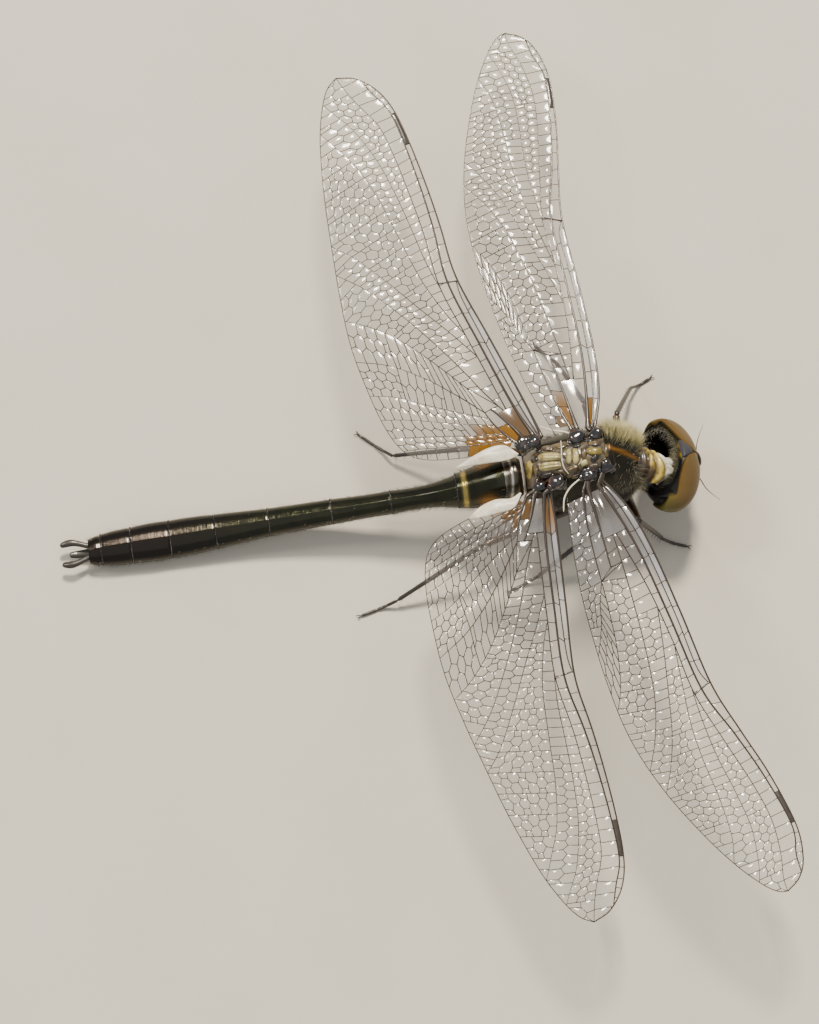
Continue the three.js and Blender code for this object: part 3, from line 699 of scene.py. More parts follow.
# Wing plans are in millimetres: distance out from the hinge, then distance forward of it. A vein has
# its points, its ridge or valley height, its thickness at root and tip, and the edge it ends on.
fore_wing = {
    "length": 32.2, "node": 15.9, "node_reach": 0.9, "stigma": (25.45, 28.05),
    "lead": [(0, 0.35), (2.7, 1.15), (6, 1.35), (10.5, 1.15), (15.8, 0.8), (20, 1.2), (24, 1.65),
             (28.2, 1.75), (30.6, 1.15), (31.8, 0.25), (32.3, -0.9)],
    "trail": [(0, -2.5), (2.2, -3.3), (4.6, -4.1), (8, -5.0), (12.6, -5.85), (17, -6.15), (21.7, -5.6),
              (26, -4.5), (29, -3.4), (31.1, -2.3), (32.05, -1.5), (32.3, -0.9)],
    "veins": {
        "Sc": ([(0.2, 0.2), (2.7, 0.72), (6, 0.92), (10.5, 0.75), (14.3, 0.42), (15.75, 0.7)],
               -0.10, 0.050, 0.045, None),
        "R1": ([(0.2, -0.1), (2.7, 0.22), (6, 0.42), (10.5, 0.26), (15.9, 0.0), (20, 0.70), (24, 1.24),
                (28.2, 1.44), (30.2, 0.8), (31.5, None)], 0.10, 0.095, 0.045, "lead"),
        "RP1": ([(3.9, -0.5), (8, -0.2), (12, -0.3), (15.9, -0.6), (20, -0.2), (24, 0.25), (27, 0.35),
                 (29.5, -0.1), (31.3, -0.75), (32.3, -0.9)], -0.06, 0.05, 0.025, "tip"),
        "RP2": ([(15.4, "RP1"), (18, -0.95), (21, -1.15), (24, -1.1), (27, -1.2), (29.4, -1.8), (30.9, None)],
                -0.08, 0.035, 0.022, "trail"),
        "IR2": ([(12.3, "RP1"), (15, -1.1), (18, -1.85), (21, -2.2), (24, -2.35), (27, -2.75), (28.9, None)],
                0.10, 0.035, 0.022, "trail"),
        "RP3": ([(9.6, "RP1"), (12, -1.05), (15, -2.2), (18, -3.35), (20.3, -4.5), (21.9, None)],
                -0.10, 0.04, 0.025, "trail"),
        "MA": ([(3.9, -0.75), (6, -1.1), (9, -1.7), (12, -2.4), (15, -3.3), (17.6, -4.5), (19.8, None)],
               0.10, 0.045, 0.025, "trail"),
        "Cu": ([(0.2, -0.9), (2, -1.2), (3.9, -1.55), (5.9, -1.95)], 0.06, 0.085, 0.05, None),
        "MP": ([(6.5, -3.0), (8.5, -3.45), (11, -4.15), (13.3, -5.1), (14.8, None)],
               -0.08, 0.04, 0.025, "trail"),
        "CuA": ([(6.5, -3.0), (7.7, -3.75), (9.2, -4.45), (10.9, None)], 0.08, 0.04, 0.025, "trail"),
        "A": ([(0.2, -1.3), (2.2, -2.0), (4.4, -2.55), (6.5, -3.0)], -0.05, 0.06, 0.04, None),
    },
    "fields": [
        # front vein, back vein, where each starts, where each stops, rows, cell length, painted reflection.
        # The rows are (share of the field, rows) stages, or the height of a row in a field that the rim cuts
        # off.
        ("C", "Sc", 0.5, 0.5, 15.7, 15.7, [(1, 1)], 1.95, 1.0),
        ("Sc", "R1", 0.5, 0.5, 15.7, 15.9, [(1, 1)], 1.95, 0.6),
        ("C", "R1", 15.9, 15.9, 25.45, 25.45, [(1, 1)], 1.30, 0.25),
        ("C", "R1", 28.05, 28.05, None, None, 0.9, 0.75, 0.3),
        ("R1", "Cu", 0.5, 0.5, 3.9, 3.9, [(1, 1)], 3.4, 0.35),
        ("R1", "RP1", 3.9, 3.9, 15.9, 15.9, [(1, 1)], 1.25, 0.15),
        ("R1", "RP1", 15.9, 15.9, None, None, 1.1, 0.95, 0.1),
        ("RP1", "RP2", 15.4, 15.4, None, None, 0.62, 0.70, 0.0),
        ("RP1", "IR2", 12.3, 12.3, 15.4, 15.4, [(1, 1)], 0.8, 0.0),
        ("RP2", "IR2", 15.4, 15.4, None, None, 0.80, 0.68, 0.0),
        ("RP1", "RP3", 9.6, 9.6, 12.3, 12.3, [(1, 1)], 0.8, 0.0),
        ("IR2", "RP3", 12.3, 12.3, None, None, 0.66, 0.66, 0.0),
        ("RP1", "MA", 3.9, 3.9, 9.6, 9.6, [(1, 1)], 1.0, 0.0),
        ("RP3", "MA", 9.6, 9.6, None, None, 0.85, 0.66, 0.0),
        ("MA", "MP", 7.0, 6.5, None, None, 0.70, 0.68, 0.0),
        ("MP", "CuA", 6.8, 6.8, None, None, [(0.5, 1), (1, 3)], 0.66, 0.0),
        ("MA", "Cu", 3.9, 3.9, 5.9, 5.9, [(1, 1)], 1.1, 0.0),
        ("Cu", "A", 0.5, 0.5, 5.9, 6.5, [(1, 1)], 1.3, 0.3),
        ("A", "T", 0.5, 0.5, 6.5, 6.5, [(1, 2)], 0.85, 0.3),
        ("CuA", "T", 6.5, 6.5, None, 10.7, [(0.6, 3), (1, 1)], 0.66, 0.0),
    ],
    "triangles": [((5.9, -1.09), (7.0, -1.25), (6.5, -3.0)), ((5.9, -1.09), (6.5, -3.0), (5.9, -1.95))],
}
hind_wing = {
    "length": 31.0, "node": 13.0, "node_reach": 0.5, "stigma": (24.1, 26.8),
    "lead": [(0, 0.15), (3, 0.25), (8, 0.25), (13, 0.25), (17, 1.0), (20, 1.5), (24, 2.0), (27, 2.15),
             (29, 1.75), (30.5, 0.75), (31.2, -0.5)],
    "trail": [(0.2, -2.2), (0.8, -4.2), (1.5, -6.3), (2.5, -8.3), (3.8, -9.3), (6, -9.6), (9, -9.4),
              (12.1, -8.95), (15.6, -8.0), (18.8, -7.0), (23, -5.6), (27, -3.95), (29.3, -2.65),
              (30.7, -1.5), (31.2, -0.5)],
    "veins": {
        "Sc": ([(0.2, -0.05), (3, -0.18), (8, -0.18), (11.4, -0.12), (12.85, 0.13)],
               -0.10, 0.050, 0.045, None),
        "R1": ([(0.2, -0.35), (3, -0.62), (8, -0.62), (13, -0.5), (17, 0.44), (20, 1.02), (24, 1.60),
                (27, 1.82), (28.8, 1.36), (30.2, None)], 0.10, 0.095, 0.045, "lead"),
        "RP1": ([(2.9, -1.2), (6, -1.2), (9, -1.2), (13, -1.15), (17, -0.35), (20, 0.1), (24, 0.55),
                 (26.5, 0.6), (28.8, -0.05), (30.2, -0.35), (31.2, -0.5)], -0.06, 0.05, 0.025, "tip"),
        "RP2": ([(12.6, "RP1"), (15, -1.2), (18, -0.95), (21, -0.75), (24, -0.75), (27, -1.2), (28.8, -1.9),
                 (29.8, None)], -0.08, 0.035, 0.022, "trail"),
        "IR2": ([(9, "RP1"), (11, -1.75), (14, -2.15), (18, -2.1), (21, -2.05), (24, -2.3), (26.4, -3.0),
                 (27.9, None)], 0.10, 0.035, 0.022, "trail"),
        "RP3": ([(7.2, "RP1"), (9.5, -2.1), (12, -3.2), (15, -4.4), (17.8, -5.6), (19.6, None)],
                -0.10, 0.04, 0.025, "trail"),
        "MA": ([(2.9, -1.4), (4.5, -2.0), (7, -2.75), (9.5, -3.6), (12, -4.6), (15, -5.95), (17.4, None)],
               0.10, 0.045, 0.025, "trail"),
        "Cu": ([(0.2, -1.05), (1.6, -1.45), (2.9, -1.95), (3.4, -2.2)], 0.06, 0.085, 0.055, None),
        "MP": ([(5.5, -3.0), (8, -4.15), (10.5, -5.5), (12.5, -7.0), (13.9, None)],
               -0.08, 0.04, 0.025, "trail"),
        "CuA": ([(3.4, -2.7), (5.5, -4.0), (7.6, -5.5), (9.4, -7.2), (10.8, None)],
                0.08, 0.045, 0.025, "trail"),
        "A": ([(0.2, -1.6), (1.2, -2.1), (2.3, -2.5), (3.4, -2.7)], -0.05, 0.06, 0.04, None),
        "L1": ([(2.9, "A"), (4.2, -4.3), (5.7, -6.1), (7.2, -7.8), (8.2, None)],
               -0.05, 0.035, 0.022, "trail"),
        "L2": ([(2.3, "A"), (3.4, -4.6), (4.7, -6.7), (5.7, -8.4), (6.3, None)], 0.06, 0.030, 0.020, "trail"),
        "L3": ([(1.4, "A"), (2.3, -4.2), (3.3, -6.3), (4.2, -8.2), (4.8, None)],
               -0.05, 0.035, 0.022, "trail"),
        "A2": ([(0.7, "A"), (1.5, -4.1), (2.4, -6.3), (3.2, -8.1), (3.6, None)], 0.05, 0.035, 0.022, "trail"),
    },
    "fields": [
        ("C", "Sc", 0.5, 0.5, 12.8, 12.8, [(1, 1)], 2.3, 1.0),
        ("Sc", "R1", 0.5, 0.5, 12.8, 13.0, [(1, 1)], 2.3, 0.6),
        ("C", "R1", 13.0, 13.0, 24.1, 24.1, [(1, 1)], 1.35, 0.25),
        ("C", "R1", 26.8, 26.8, None, None, 0.9, 0.75, 0.3),
        ("R1", "Cu", 0.5, 0.5, 2.9, 2.9, [(1, 1)], 2.4, 0.35),
        ("R1", "RP1", 2.9, 2.9, 13.0, 13.0, [(1, 1)], 1.3, 0.15),
        ("R1", "RP1", 13.0, 13.0, None, None, 1.1, 0.95, 0.1),
        ("RP1", "RP2", 12.6, 12.6, None, None, 0.62, 0.70, 0.0),
        ("RP1", "IR2", 9.0, 9.0, 12.6, 12.6, [(1, 1)], 0.8, 0.0),
        ("RP2", "IR2", 12.6, 12.6, None, None, 0.80, 0.68, 0.0),
        ("RP1", "RP3", 7.2, 7.2, 9.0, 9.0, [(1, 1)], 0.8, 0.0),
        ("IR2", "RP3", 9.0, 9.0, None, None, 0.66, 0.66, 0.0),
        ("RP1", "MA", 2.9, 2.9, 7.2, 7.2, [(1, 1)], 1.0, 0.0),
        ("RP3", "MA", 7.2, 7.2, None, None, 0.85, 0.66, 0.0),
        ("MA", "MP", 5.3, 5.5, None, None, 0.70, 0.68, 0.0),
        ("MP", "CuA", 5.5, 3.4, None, None, [(0.4, 1), (0.7, 2), (1, 3)], 0.68, 0.0),
        ("MA", "Cu", 2.9, 2.9, 3.4, 3.4, [(1, 1)], 1.1, 0.0),
        ("Cu", "A", 0.5, 0.5, 3.4, 3.4, [(1, 1)], 1.3, 0.3),
        ("CuA", "L1", 3.4, 2.9, None, None, [(0.35, 1), (0.7, 2), (1, 4)], 0.68, 0.0),
        ("L1", "L2", 2.9, 2.3, None, None, [(0.3, 1), (1, 2)], 0.68, 0.0),
        ("L2", "L3", 2.3, 1.4, None, None, [(0.3, 1), (1, 2)], 0.68, 0.0),
        ("L3", "A2", 1.4, 0.7, None, None, [(1, 2)], 0.70, 0.0),
        ("A2", "T", 0.7, 0.25, None, 3.3, [(1, 1)], 0.75, 0.0),
    ],
    "triangles": [((3.4, -1.6), (5.3, -2.25), (5.5, -3.0)), ((3.4, -1.6), (5.5, -3.0), (3.4, -2.7))],
}
wing_camber = 0.35
wing_places = {
    # plan, side, hinge, sweep towards the head and lift of the tip in degrees
    "fore_left": (fore_wing, 1, (1.6, 2.2, 9.05), -1, -8),
    "fore_right": (fore_wing, -1, (1.6, -1.7, 9.35), 17.5, 1),
    "hind_left": (hind_wing, 1, (-2.0, 2.2, 8.75), -19.7, -1.5),
    "hind_right": (hind_wing, -1, (-2.0, -1.75, 8.95), -1.5, -1),
}
wing_stains = {
    # stained spots near the root: out, forward, reach out, reach forward and strength
    "fore_left": {"amber": [(1.2, -1.35, 2.6, 0.5, 1.0), (1.5, 0.0, 1.2, 0.5, 1.0)],
                  "smoke": [(0.8, -2.3, 1.6, 0.8, 0.5)]},
    "fore_right": {"amber": [(0.5, 0.3, 0.7, 0.35, 0.9)],
                   "smoke": [(1.4, -0.8, 2.2, 0.8, 0.9), (1.2, -2.4, 2.4, 1.4, 0.6)]},
    "hind_left": {"amber": [(1.3, -3.1, 1.3, 2.0, 1.0), (0.9, -1.4, 1.3, 0.7, 0.8)],
                  "smoke": [(1.0, -0.7, 1.4, 0.5, 0.6)]},
    "hind_right": {"amber": [(0.9, -2.6, 1.1, 1.3, 0.9), (0.9, -0.1, 1.0, 0.4, 0.9)],
                   "smoke": [(1.6, -2.0, 1.8, 1.2, 0.6), (1.2, -0.8, 1.4, 0.5, 0.6)]},
}


def read_line(line, travel, at):
    """A line's points, which are known at travel, read at other places."""
    return np.stack([np.interp(at, travel, line[:, k]) for k in range(line.shape[1])], -1)


def part_of(line, start=None, stop=None, count=90):
    """The part of a line between two distances out, with its points at even steps of length in the
    wing's plane. None means the line's own end."""
    travel = np.concatenate([[0], np.cumsum(np.linalg.norm(np.diff(line[:, :2], axis=0), axis=1))])
    ends = [0 if start is None else np.interp(start, line[:, 0], travel),
            travel[-1] if stop is None else np.interp(stop, line[:, 0], travel)]
    return read_line(line, travel, np.linspace(ends[0], ends[1], count))


edge_points, vein_points, end_points = 400, 200, 60     # on a wing's edge, a vein and a field's end


def wing_lines(plan):
    """The wing's edges and veins as lines of (out, forward, height). A vein rises or falls from the
    vein it forks from to its own ridge height, and comes down to the level of the edge it ends on."""
    edges = {name: along_points(plan[name], np.linspace(0, len(plan[name]) - 1, edge_points))
             for name in ("lead", "trail")}
    lines = {name: np.column_stack([edges[edge], np.zeros(edge_points)])
             for name, edge in (("C", "lead"), ("T", "trail"))}
    for name, (points, ridge_height, _, _, ends_on) in plan["veins"].items():
        points, start_height = list(points), 0.0
        if isinstance(points[0][1], str):
            parent = lines[points[0][1]]
            points[0] = (points[0][0], np.interp(points[0][0], parent[:, 0], parent[:, 1]))
            start_height = np.interp(points[0][0], parent[:, 0], parent[:, 2])
        if ends_on in edges:
            out, edge = points[-1][0], edges[ends_on]
            points[-1] = (out, np.interp(out, edge[:, 0], edge[:, 1]))
        line = part_of(along_points(points, np.linspace(0, len(points) - 1, 300)), count=vein_points)
        share = np.linspace(0, 1, vein_points)
        rise = start_height + (ridge_height - start_height) * smooth_step(share / 0.25)
        if ends_on:
            rise = rise * smooth_step((1 - share) / 0.15)
        lines[name] = np.column_stack([line, rise])
    return lines


def rim_between(lines, first, second):
    """The wing's edge between the two points where veins meet it."""
    rim = part_of(np.concatenate([lines["C"], lines["T"][::-1]]), count=1600)
    ends = [int(np.argmin(np.linalg.norm(rim[:, :2] - point[:2], axis=1))) for point in (first, second)]
    if ends[1] <= ends[0] + 1:
        return np.linspace(first, second, end_points)
    return part_of(rim[ends[0]:ends[1] + 1], count=end_points)


def patch(front, back, end, s, t):
    """A Coons patch: s runs along two veins and t from the front one to the back one, and at s = 1
    the patch follows the end line."""
    def read(line, place):
        """The line's points at a share of the way from its first point to its last."""
        return read_line(line, np.arange(len(line)), place * (len(line) - 1))

    s3, t3 = s[..., None], t[..., None]
    straight = (1 - t3) * front[-1] + t3 * back[-1]
    return (1 - t3) * read(front, s) + t3 * read(back, s) + s3 * (read(end, t) - straight)


stage_length = 1.6            # how far a field that the rim cuts off keeps its number of rows


def cut_by_rim(lines, front, back, row_height):
    """A field that the rim cuts off at a slant: the shorter vein's line runs on round the rim to the
    end of the longer one, and both get points at even steps along the field, so that the cross-veins
    stand square to it. The number of rows follows the width."""
    rim = rim_between(lines, front[-1], back[-1])
    if back[-1, 0] < front[-1, 0]:
        back = np.concatenate([back, rim[::-1]])
    else:
        front = np.concatenate([front, rim])
    way = unit(front[-1, :2] - (front[0, :2] + back[0, :2]) / 2)
    both = []
    for line in (front, back):
        travel = np.maximum.accumulate((line[:, :2] - line[0, :2]) @ way)
        travel = travel + np.arange(len(line)) * 1e-7     # rises a little even where the line doesn't
        both.append(read_line(line, travel, np.linspace(0, travel[-1], 120)))
    front, back = both
    width = np.linalg.norm((front - back)[:, :2], axis=1)
    parts = max(1, int(round(np.linalg.norm(front[-1, :2] - front[0, :2]) / stage_length)))
    rows = [max(1, int(round(part.mean() / row_height))) for part in np.array_split(width, parts)]
    changes = [k for k in range(parts) if k == parts - 1 or rows[k + 1] != rows[k]]
    return front, back, [((k + 1) / parts, rows[k]) for k in changes]


zigzag = 0.17                 # how far a row line's point is drawn aside, as a share of a row
stray_along, stray_across = 0.2, 0.07      # how far it strays by chance, in half cells and rows


def cells_of(front, back, end, stages, cell_length, rng):
    """Fills the field between two veins with cells in honeycomb rows. In each stage the lattice has a
    point at every half cell of every row line. Inner row lines zigzag, because each point is drawn
    towards the cross-vein that meets it. Gives six corners for each cell, and the vein segments."""
    corners, segments = [], []
    begin = 0.0
    for number, (stop, rows) in enumerate(stages):
        middle = (front + back) / 2
        steps = np.linalg.norm(np.diff(middle[:, :2], axis=0), axis=1).sum() * (stop - begin)
        columns = max(1, int(round(steps / cell_length)))
        half, line = np.meshgrid(np.arange(2 * columns + 1), np.arange(rows + 1))
        inner = (half > 0) & (half < 2 * columns)
        between = (line > 0) & (line < rows)
        pull = np.where(half % 2 == line % 2, zigzag, -zigzag) * inner * between
        s = (half + rng.uniform(-stray_along, stray_along, half.shape) * inner) / (2 * columns)
        t = (line + pull + rng.uniform(-stray_across, stray_across, half.shape) * between) / rows
        points = patch(front, back, end, begin + s * (stop - begin), t)
        for row in range(rows):
            shift = row % 2
            left = np.arange(shift, 2 * columns - 1, 2)
            full = [points[row, left], points[row, left + 1], points[row, left + 2],
                    points[row + 1, left + 2], points[row + 1, left + 1], points[row + 1, left]]
            corners.append(np.stack(full, 1))
            if shift:
                for a, b in ((0, 1), (2 * columns - 1, 2 * columns)):
                    upper, lower = points[row, [a, b]], points[row + 1, [a, b]]
                    quad = [upper[0], (upper[0] + upper[1]) / 2, upper[1],
                            lower[1], (lower[0] + lower[1]) / 2, lower[0]]
                    corners.append(np.stack(quad)[None])
            cross = np.arange(shift or 2, 2 * columns, 2)
            segments.append(np.stack([points[row, cross], points[row + 1, cross]], 1))
            if row > 0:
                segments.append(np.stack([points[row, :-1], points[row, 1:]], 1))
        if number < len(stages) - 1:
            segments.append(np.stack([points[:-1, -1], points[1:, -1]], 1))
        begin = stop
    return np.concatenate(corners), np.concatenate(segments)


cell_outline, cell_points = 12, 37     # points round a film cell, and in the whole of it


def film_cells(corners, swell):
    """A shallow dome over each cell: its outline of twelve points, two smaller copies of it inside
    and a middle point, raised as a parabola. swell is the height of each cell's middle."""
    outline = np.stack([corners, (corners + np.roll(corners, -1, 1)) / 2], 2).reshape(-1, cell_outline, 3)
    middle = outline.mean(1, keepdims=True)
    peak = np.array([0, 0, 1]) * swell[:, None, None]
    rings = [middle + (outline - middle) * scale + peak * (1 - scale ** 2) for scale in (1.0, 0.7, 0.36)]
    points = np.concatenate(rings + [middle + peak], 1)
    side = np.arange(cell_outline) + 2 * cell_outline
    fan = np.stack([side, np.roll(side, -1), np.full(cell_outline, cell_points - 1)], 1)
    start = np.arange(len(corners))[:, None] * cell_points
    return points.reshape(-1, 3), [ring_quads(cell_outline, (start + [0, cell_outline]).ravel()),
                                   (fan[None] + start[..., None]).reshape(-1, 3)]


def bars(segments, radius):
    """A closed four-sided bar along each segment (n, 2, 3)."""
    along = unit(segments[:, 1] - segments[:, 0], 1e-9)
    side = unit(np.cross(along, [0, 0, 1.0]), 1e-9)
    above = np.cross(side, along)
    spread = np.stack([side, above, -side, -above], 1) * radius[:, None, None]
    points = np.concatenate([segments[:, :1] + spread, segments[:, 1:] + spread], 1)
    quads = np.concatenate([ring_quads(4, [0]), [[3, 2, 1, 0], [4, 5, 6, 7]]])
    start = (np.arange(len(segments)) * 8)[:, None, None]
    return {"points": points.reshape(-1, 3), "faces": [(quads[None] + start).reshape(-1, 4)], "marks": {}}


def wing_to_body(plan, lines, side, hinge, sweep, lift):
    """Returns the function that lays wing points (out, forward, height) on the body: cambered across
    the chord, then turned by sweep and lift about the hinge."""
    swing, rise = np.radians(sweep), np.radians(lift)
    outward = np.array([np.sin(swing) * np.cos(rise), side * np.cos(swing) * np.cos(rise), np.sin(rise)])
    forward = np.array([np.cos(swing), -side * np.sin(swing), 0])
    above = side * np.cross(forward, outward)

    def lay(points):
        """The hinge plus three steps: outward, longer near the node, forward, and above the wing's
        plane, where the camber is half a sine wave across the chord and another along the wing."""
        out = points[..., 0]
        reach = out + plan["node_reach"] * ridge(out, plan["node"], 8.0)
        lead = np.interp(out, lines["C"][:, 0], lines["C"][:, 1])
        trail = np.interp(out, lines["T"][:, 0], lines["T"][:, 1])
        across = np.clip((points[..., 1] - trail) / np.maximum(lead - trail, 0.3), 0, 1)
        along = np.minimum(1, 0.1 + out / plan["length"])
        arch = wing_camber * np.sin(np.pi * across) * np.sin(np.pi * along)
        return (np.asarray(hinge) + reach[..., None] * outward + points[..., 1:2] * forward
                + (points[..., 2] + arch)[..., None] * above)
    return lay


# Wing film: a few thousandths of a millimetre of chitin, so it is nearly invisible except where it
# mirrors light. A painted reflection makes it silvery and less clear in the strips along the front
# edge, and less so in the first cells. At the root some cells are stained amber or smoky brown.
wing_film, tree = new_material("wing_film_clear_chitin")
film_marks = {name: add(tree, "ShaderNodeAttribute", attribute_name=name).outputs["Fac"]
              for name in ("painted_reflection", "amber", "smoke")}
# Where the painted reflection lies, the film turns pale silver grey and less clear.
tone = add(tree, "ShaderNodeMix", {0: film_marks["painted_reflection"], 6: linear("#7E7770"), 7: linear("#ABADB4")},
           data_type="RGBA").outputs[2]
cover = add(tree, "ShaderNodeMapRange",
            {"Value": film_marks["painted_reflection"], "To Min": 0.2, "To Max": 0.6}).outputs[0]
for name, colour, strength in (("amber", "#6B4800", 1.0), ("smoke", "#241A0A", 0.75)):
    tone = add(tree, "ShaderNodeMix", {0: film_marks[name], 6: tone, 7: linear(colour)},
               data_type="RGBA").outputs[2]
    cover = add(tree, "ShaderNodeMath", {0: film_marks[name], 1: strength, 2: cover},
                operation="MULTIPLY_ADD", use_clamp=True).outputs[0]
gloss = add(tree, "ShaderNodeMapRange",
            {"Value": film_marks["amber"], "To Min": 1.0, "To Max": 0.12}).outputs[0]
shader = add(tree, "ShaderNodeBsdfPrincipled", {
    "Base Color": tone, "Roughness": 0.12, "IOR": 1.57, "Specular IOR Level": gloss, "Coat Weight": gloss,
    "Coat Roughness": 0.1, "Alpha": cover}).outputs[0]
add(tree, "ShaderNodeOutputMaterial", {"Surface": shader})

# Veins: hollow tubes of hard dark cuticle, brown to near black, with a sheen.
vein_cuticle = make_finish("vein_dark_cuticle", (600.0, 2.0), ("#15110D", "#35281B"),
                           {"Roughness": 0.28, "Coat Weight": 0.3})

# Stigma: a thick blood-filled cell, dark grey-brown and smooth.
stigma_cuticle = make_finish("stigma_grey_brown_cuticle", (2500.0, 3.0), ("#1A1613", "#453D35"),
                             {"Roughness": 0.3, "Coat Weight": 0.3})

edge_veins = {"C": (0.085, 0.045), "T": (0.03, 0.035)}     # half thickness at root and tip
root_swelling = {
    # the hinge knob a vein grows from, and its extra half thickness there
    "C": (0, 0.05), "Sc": (0, 0.04), "R1": (0, 0.11), "Cu": (1, 0.12), "A": (1, 0.08),
}
root_points = 6               # on the way from the knob to the vein's first point
left_swell, right_swell = 0.060, 0.105     # a cell's mean height as a share of its width
shortest_vein = 0.02          # a shorter piece of vein is left out
inner_radius, outer_radius = 0.034, 0.028  # of the small veins, before and beyond the node
stigma_half_thick, stigma_crown, stigma_points = 0.02, 0.05, 24
for number, (wing_name, (plan, side, hinge, sweep, lift)) in enumerate(wing_places.items()):
    rng = np.random.default_rng(100 + number)
    lines = wing_lines(plan)
    lay = wing_to_body(plan, lines, side, hinge, sweep, lift)

    corner_sets, segment_sets, painted_reflection_sets = [], [], []
    for front, back, *ends, stages, cell_length, painted_reflection in plan["fields"]:
        front_line = part_of(lines[front], ends[0], ends[2])
        back_line = part_of(lines[back], ends[1], ends[3])
        to_rim, slanted = ends[2] is None, isinstance(stages, float)
        if slanted:
            front_line, back_line, stages = cut_by_rim(lines, front_line, back_line, stages)
        if to_rim and not slanted:
            end = rim_between(lines, front_line[-1], back_line[-1])
        else:
            end = np.linspace(front_line[-1], back_line[-1], end_points)
        corners, segments = cells_of(front_line, back_line, end, stages, cell_length, rng)
        corner_sets.append(corners)
        segment_sets.append(segments)
        painted_reflection_sets.append(painted_reflection * rng.uniform(0.55, 1.0, len(corners)))
        if not to_rim:
            segment_sets.append(end[[0, -1]][None])
    for a, b, c in plan["triangles"]:
        sides_of = np.array([a, b, c])
        both = np.stack([sides_of, (sides_of + np.roll(sides_of, -1, 0)) / 2], 1).reshape(6, 2)
        corner_sets.append(np.column_stack([both, np.zeros(6)])[None])
        painted_reflection_sets.append(np.zeros(1))
        loop = np.column_stack([sides_of, np.zeros(3)])
        segment_sets.append(np.stack([loop, np.roll(loop, -1, 0)], 1))
    corners = np.concatenate(corner_sets)
    segments = np.concatenate(segment_sets)
    painted_reflection = np.concatenate(painted_reflection_sets)

    spans = corners.max(1) - corners.min(1)
    swell = (left_swell if side > 0 else right_swell) * np.minimum(spans[:, 0], spans[:, 1])
    swell = swell * rng.uniform(0.6, 1.5, len(corners))
    film_points, film_faces = film_cells(corners, swell)
    # The painted reflection fades out past the node and waxes and wanes along the wing.
    painted_reflection = np.repeat(painted_reflection, cell_points) * smooth_step((plan["node"] + 2 - film_points[:, 0]) / 6)
    phase = np.repeat(rng.uniform(0, 6, len(corners)), cell_points)
    painted_reflection = painted_reflection * (0.72 + 0.28 * np.sin(1.7 * film_points[:, 0] + phase))
    marks = {"painted_reflection": painted_reflection[:, None]}
    cell_middle = corners.mean(1)
    for stain, spots in wing_stains[wing_name].items():
        depth = np.zeros(len(corners))
        for out, forward, reach_out, reach_forward, strength in spots:
            near = ridge(cell_middle[:, 0], out, reach_out) * ridge(cell_middle[:, 1], forward, reach_forward)
            depth = np.maximum(depth, strength * smooth_step((near - 0.2) / 0.2)
                               * rng.uniform(0.85, 1.0, len(corners)))
        fade = smooth_step((5.5 - film_points[:, 0]) / 4)
        marks[stain] = (np.repeat(depth, cell_points) * fade)[:, None]
    film_shell = {"points": lay(film_points), "faces": film_faces, "marks": marks}
    film = make_piece(f"wing_film_{wing_name}", [film_shell], wing_film, open_up=True)

    length = np.linalg.norm(segments[:, 1] - segments[:, 0], axis=1)
    segments = segments[length > shortest_vein]
    radius = np.where(segments[:, 0, 0] < plan["node"], inner_radius, outer_radius)
    vein_shells = [bars(lay(segments), radius)]
    node_line = []
    for step, name in ((-0.25, "C"), (-0.05, "R1"), (0.15, "RP1")):
        out = plan["node"] + step
        node_line.append([out, np.interp(out, lines[name][:, 0], lines[name][:, 1]), 0.04])
    vein_shells.append(skin(tube(lay(along_points(node_line, np.linspace(0, 2, 24))), 0.06)))
    for name, line in lines.items():
        thick, thin = edge_veins[name] if name in edge_veins else plan["veins"][name][2:4]
        share = np.linspace(0, 1, 90)
        size = thin + (thick - thin) * (1 - share) ** 0.8
        path = lay(part_of(line))
        if name in root_swelling:
            knob, swollen = root_swelling[name]
            size = size + swollen * np.exp(-share * line[-1, 0] / 1.6)
            start = np.array(hinge_knobs[wing_name][knob][0]) + np.array([0, 0, -0.05])
            path = np.concatenate([np.linspace(start, path[0], root_points + 1)[:-1], path])
            size = np.concatenate([np.full(root_points, size[0]), size])
        vein_shells.append(skin(tube(path, size)))
    veins = make_piece(f"wing_veins_{wing_name}", vein_shells, vein_cuticle)

    front_line = part_of(lines["C"], *plan["stigma"], stigma_points)
    back_line = part_of(lines["R1"], *plan["stigma"], stigma_points)
    back_line = back_line + 0.08 * (front_line - back_line)
    across = np.linspace(0, 1, 9)
    blend = front_line[:, None] * (1 - across[None, :, None]) + back_line[:, None] * across[None, :, None]
    end_fall = np.minimum(np.linspace(0, 1, stigma_points), np.linspace(1, 0, stigma_points))
    edge_fall = (4 * across * (1 - across))[None] * np.minimum(1, 6 * end_fall)[:, None]
    crown = np.array([0, 0, 1]) * (stigma_half_thick + stigma_crown * edge_fall)[..., None]
    box = np.concatenate([lay(blend + crown), lay((blend - crown)[:, ::-1])], 1)
    stigma = make_piece(f"wing_stigma_{wing_name}", [skin(box)], stigma_cuticle)

    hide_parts(f"wing_{wing_name}")
    for piece in (film, veins, stigma):
        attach(piece, "root")

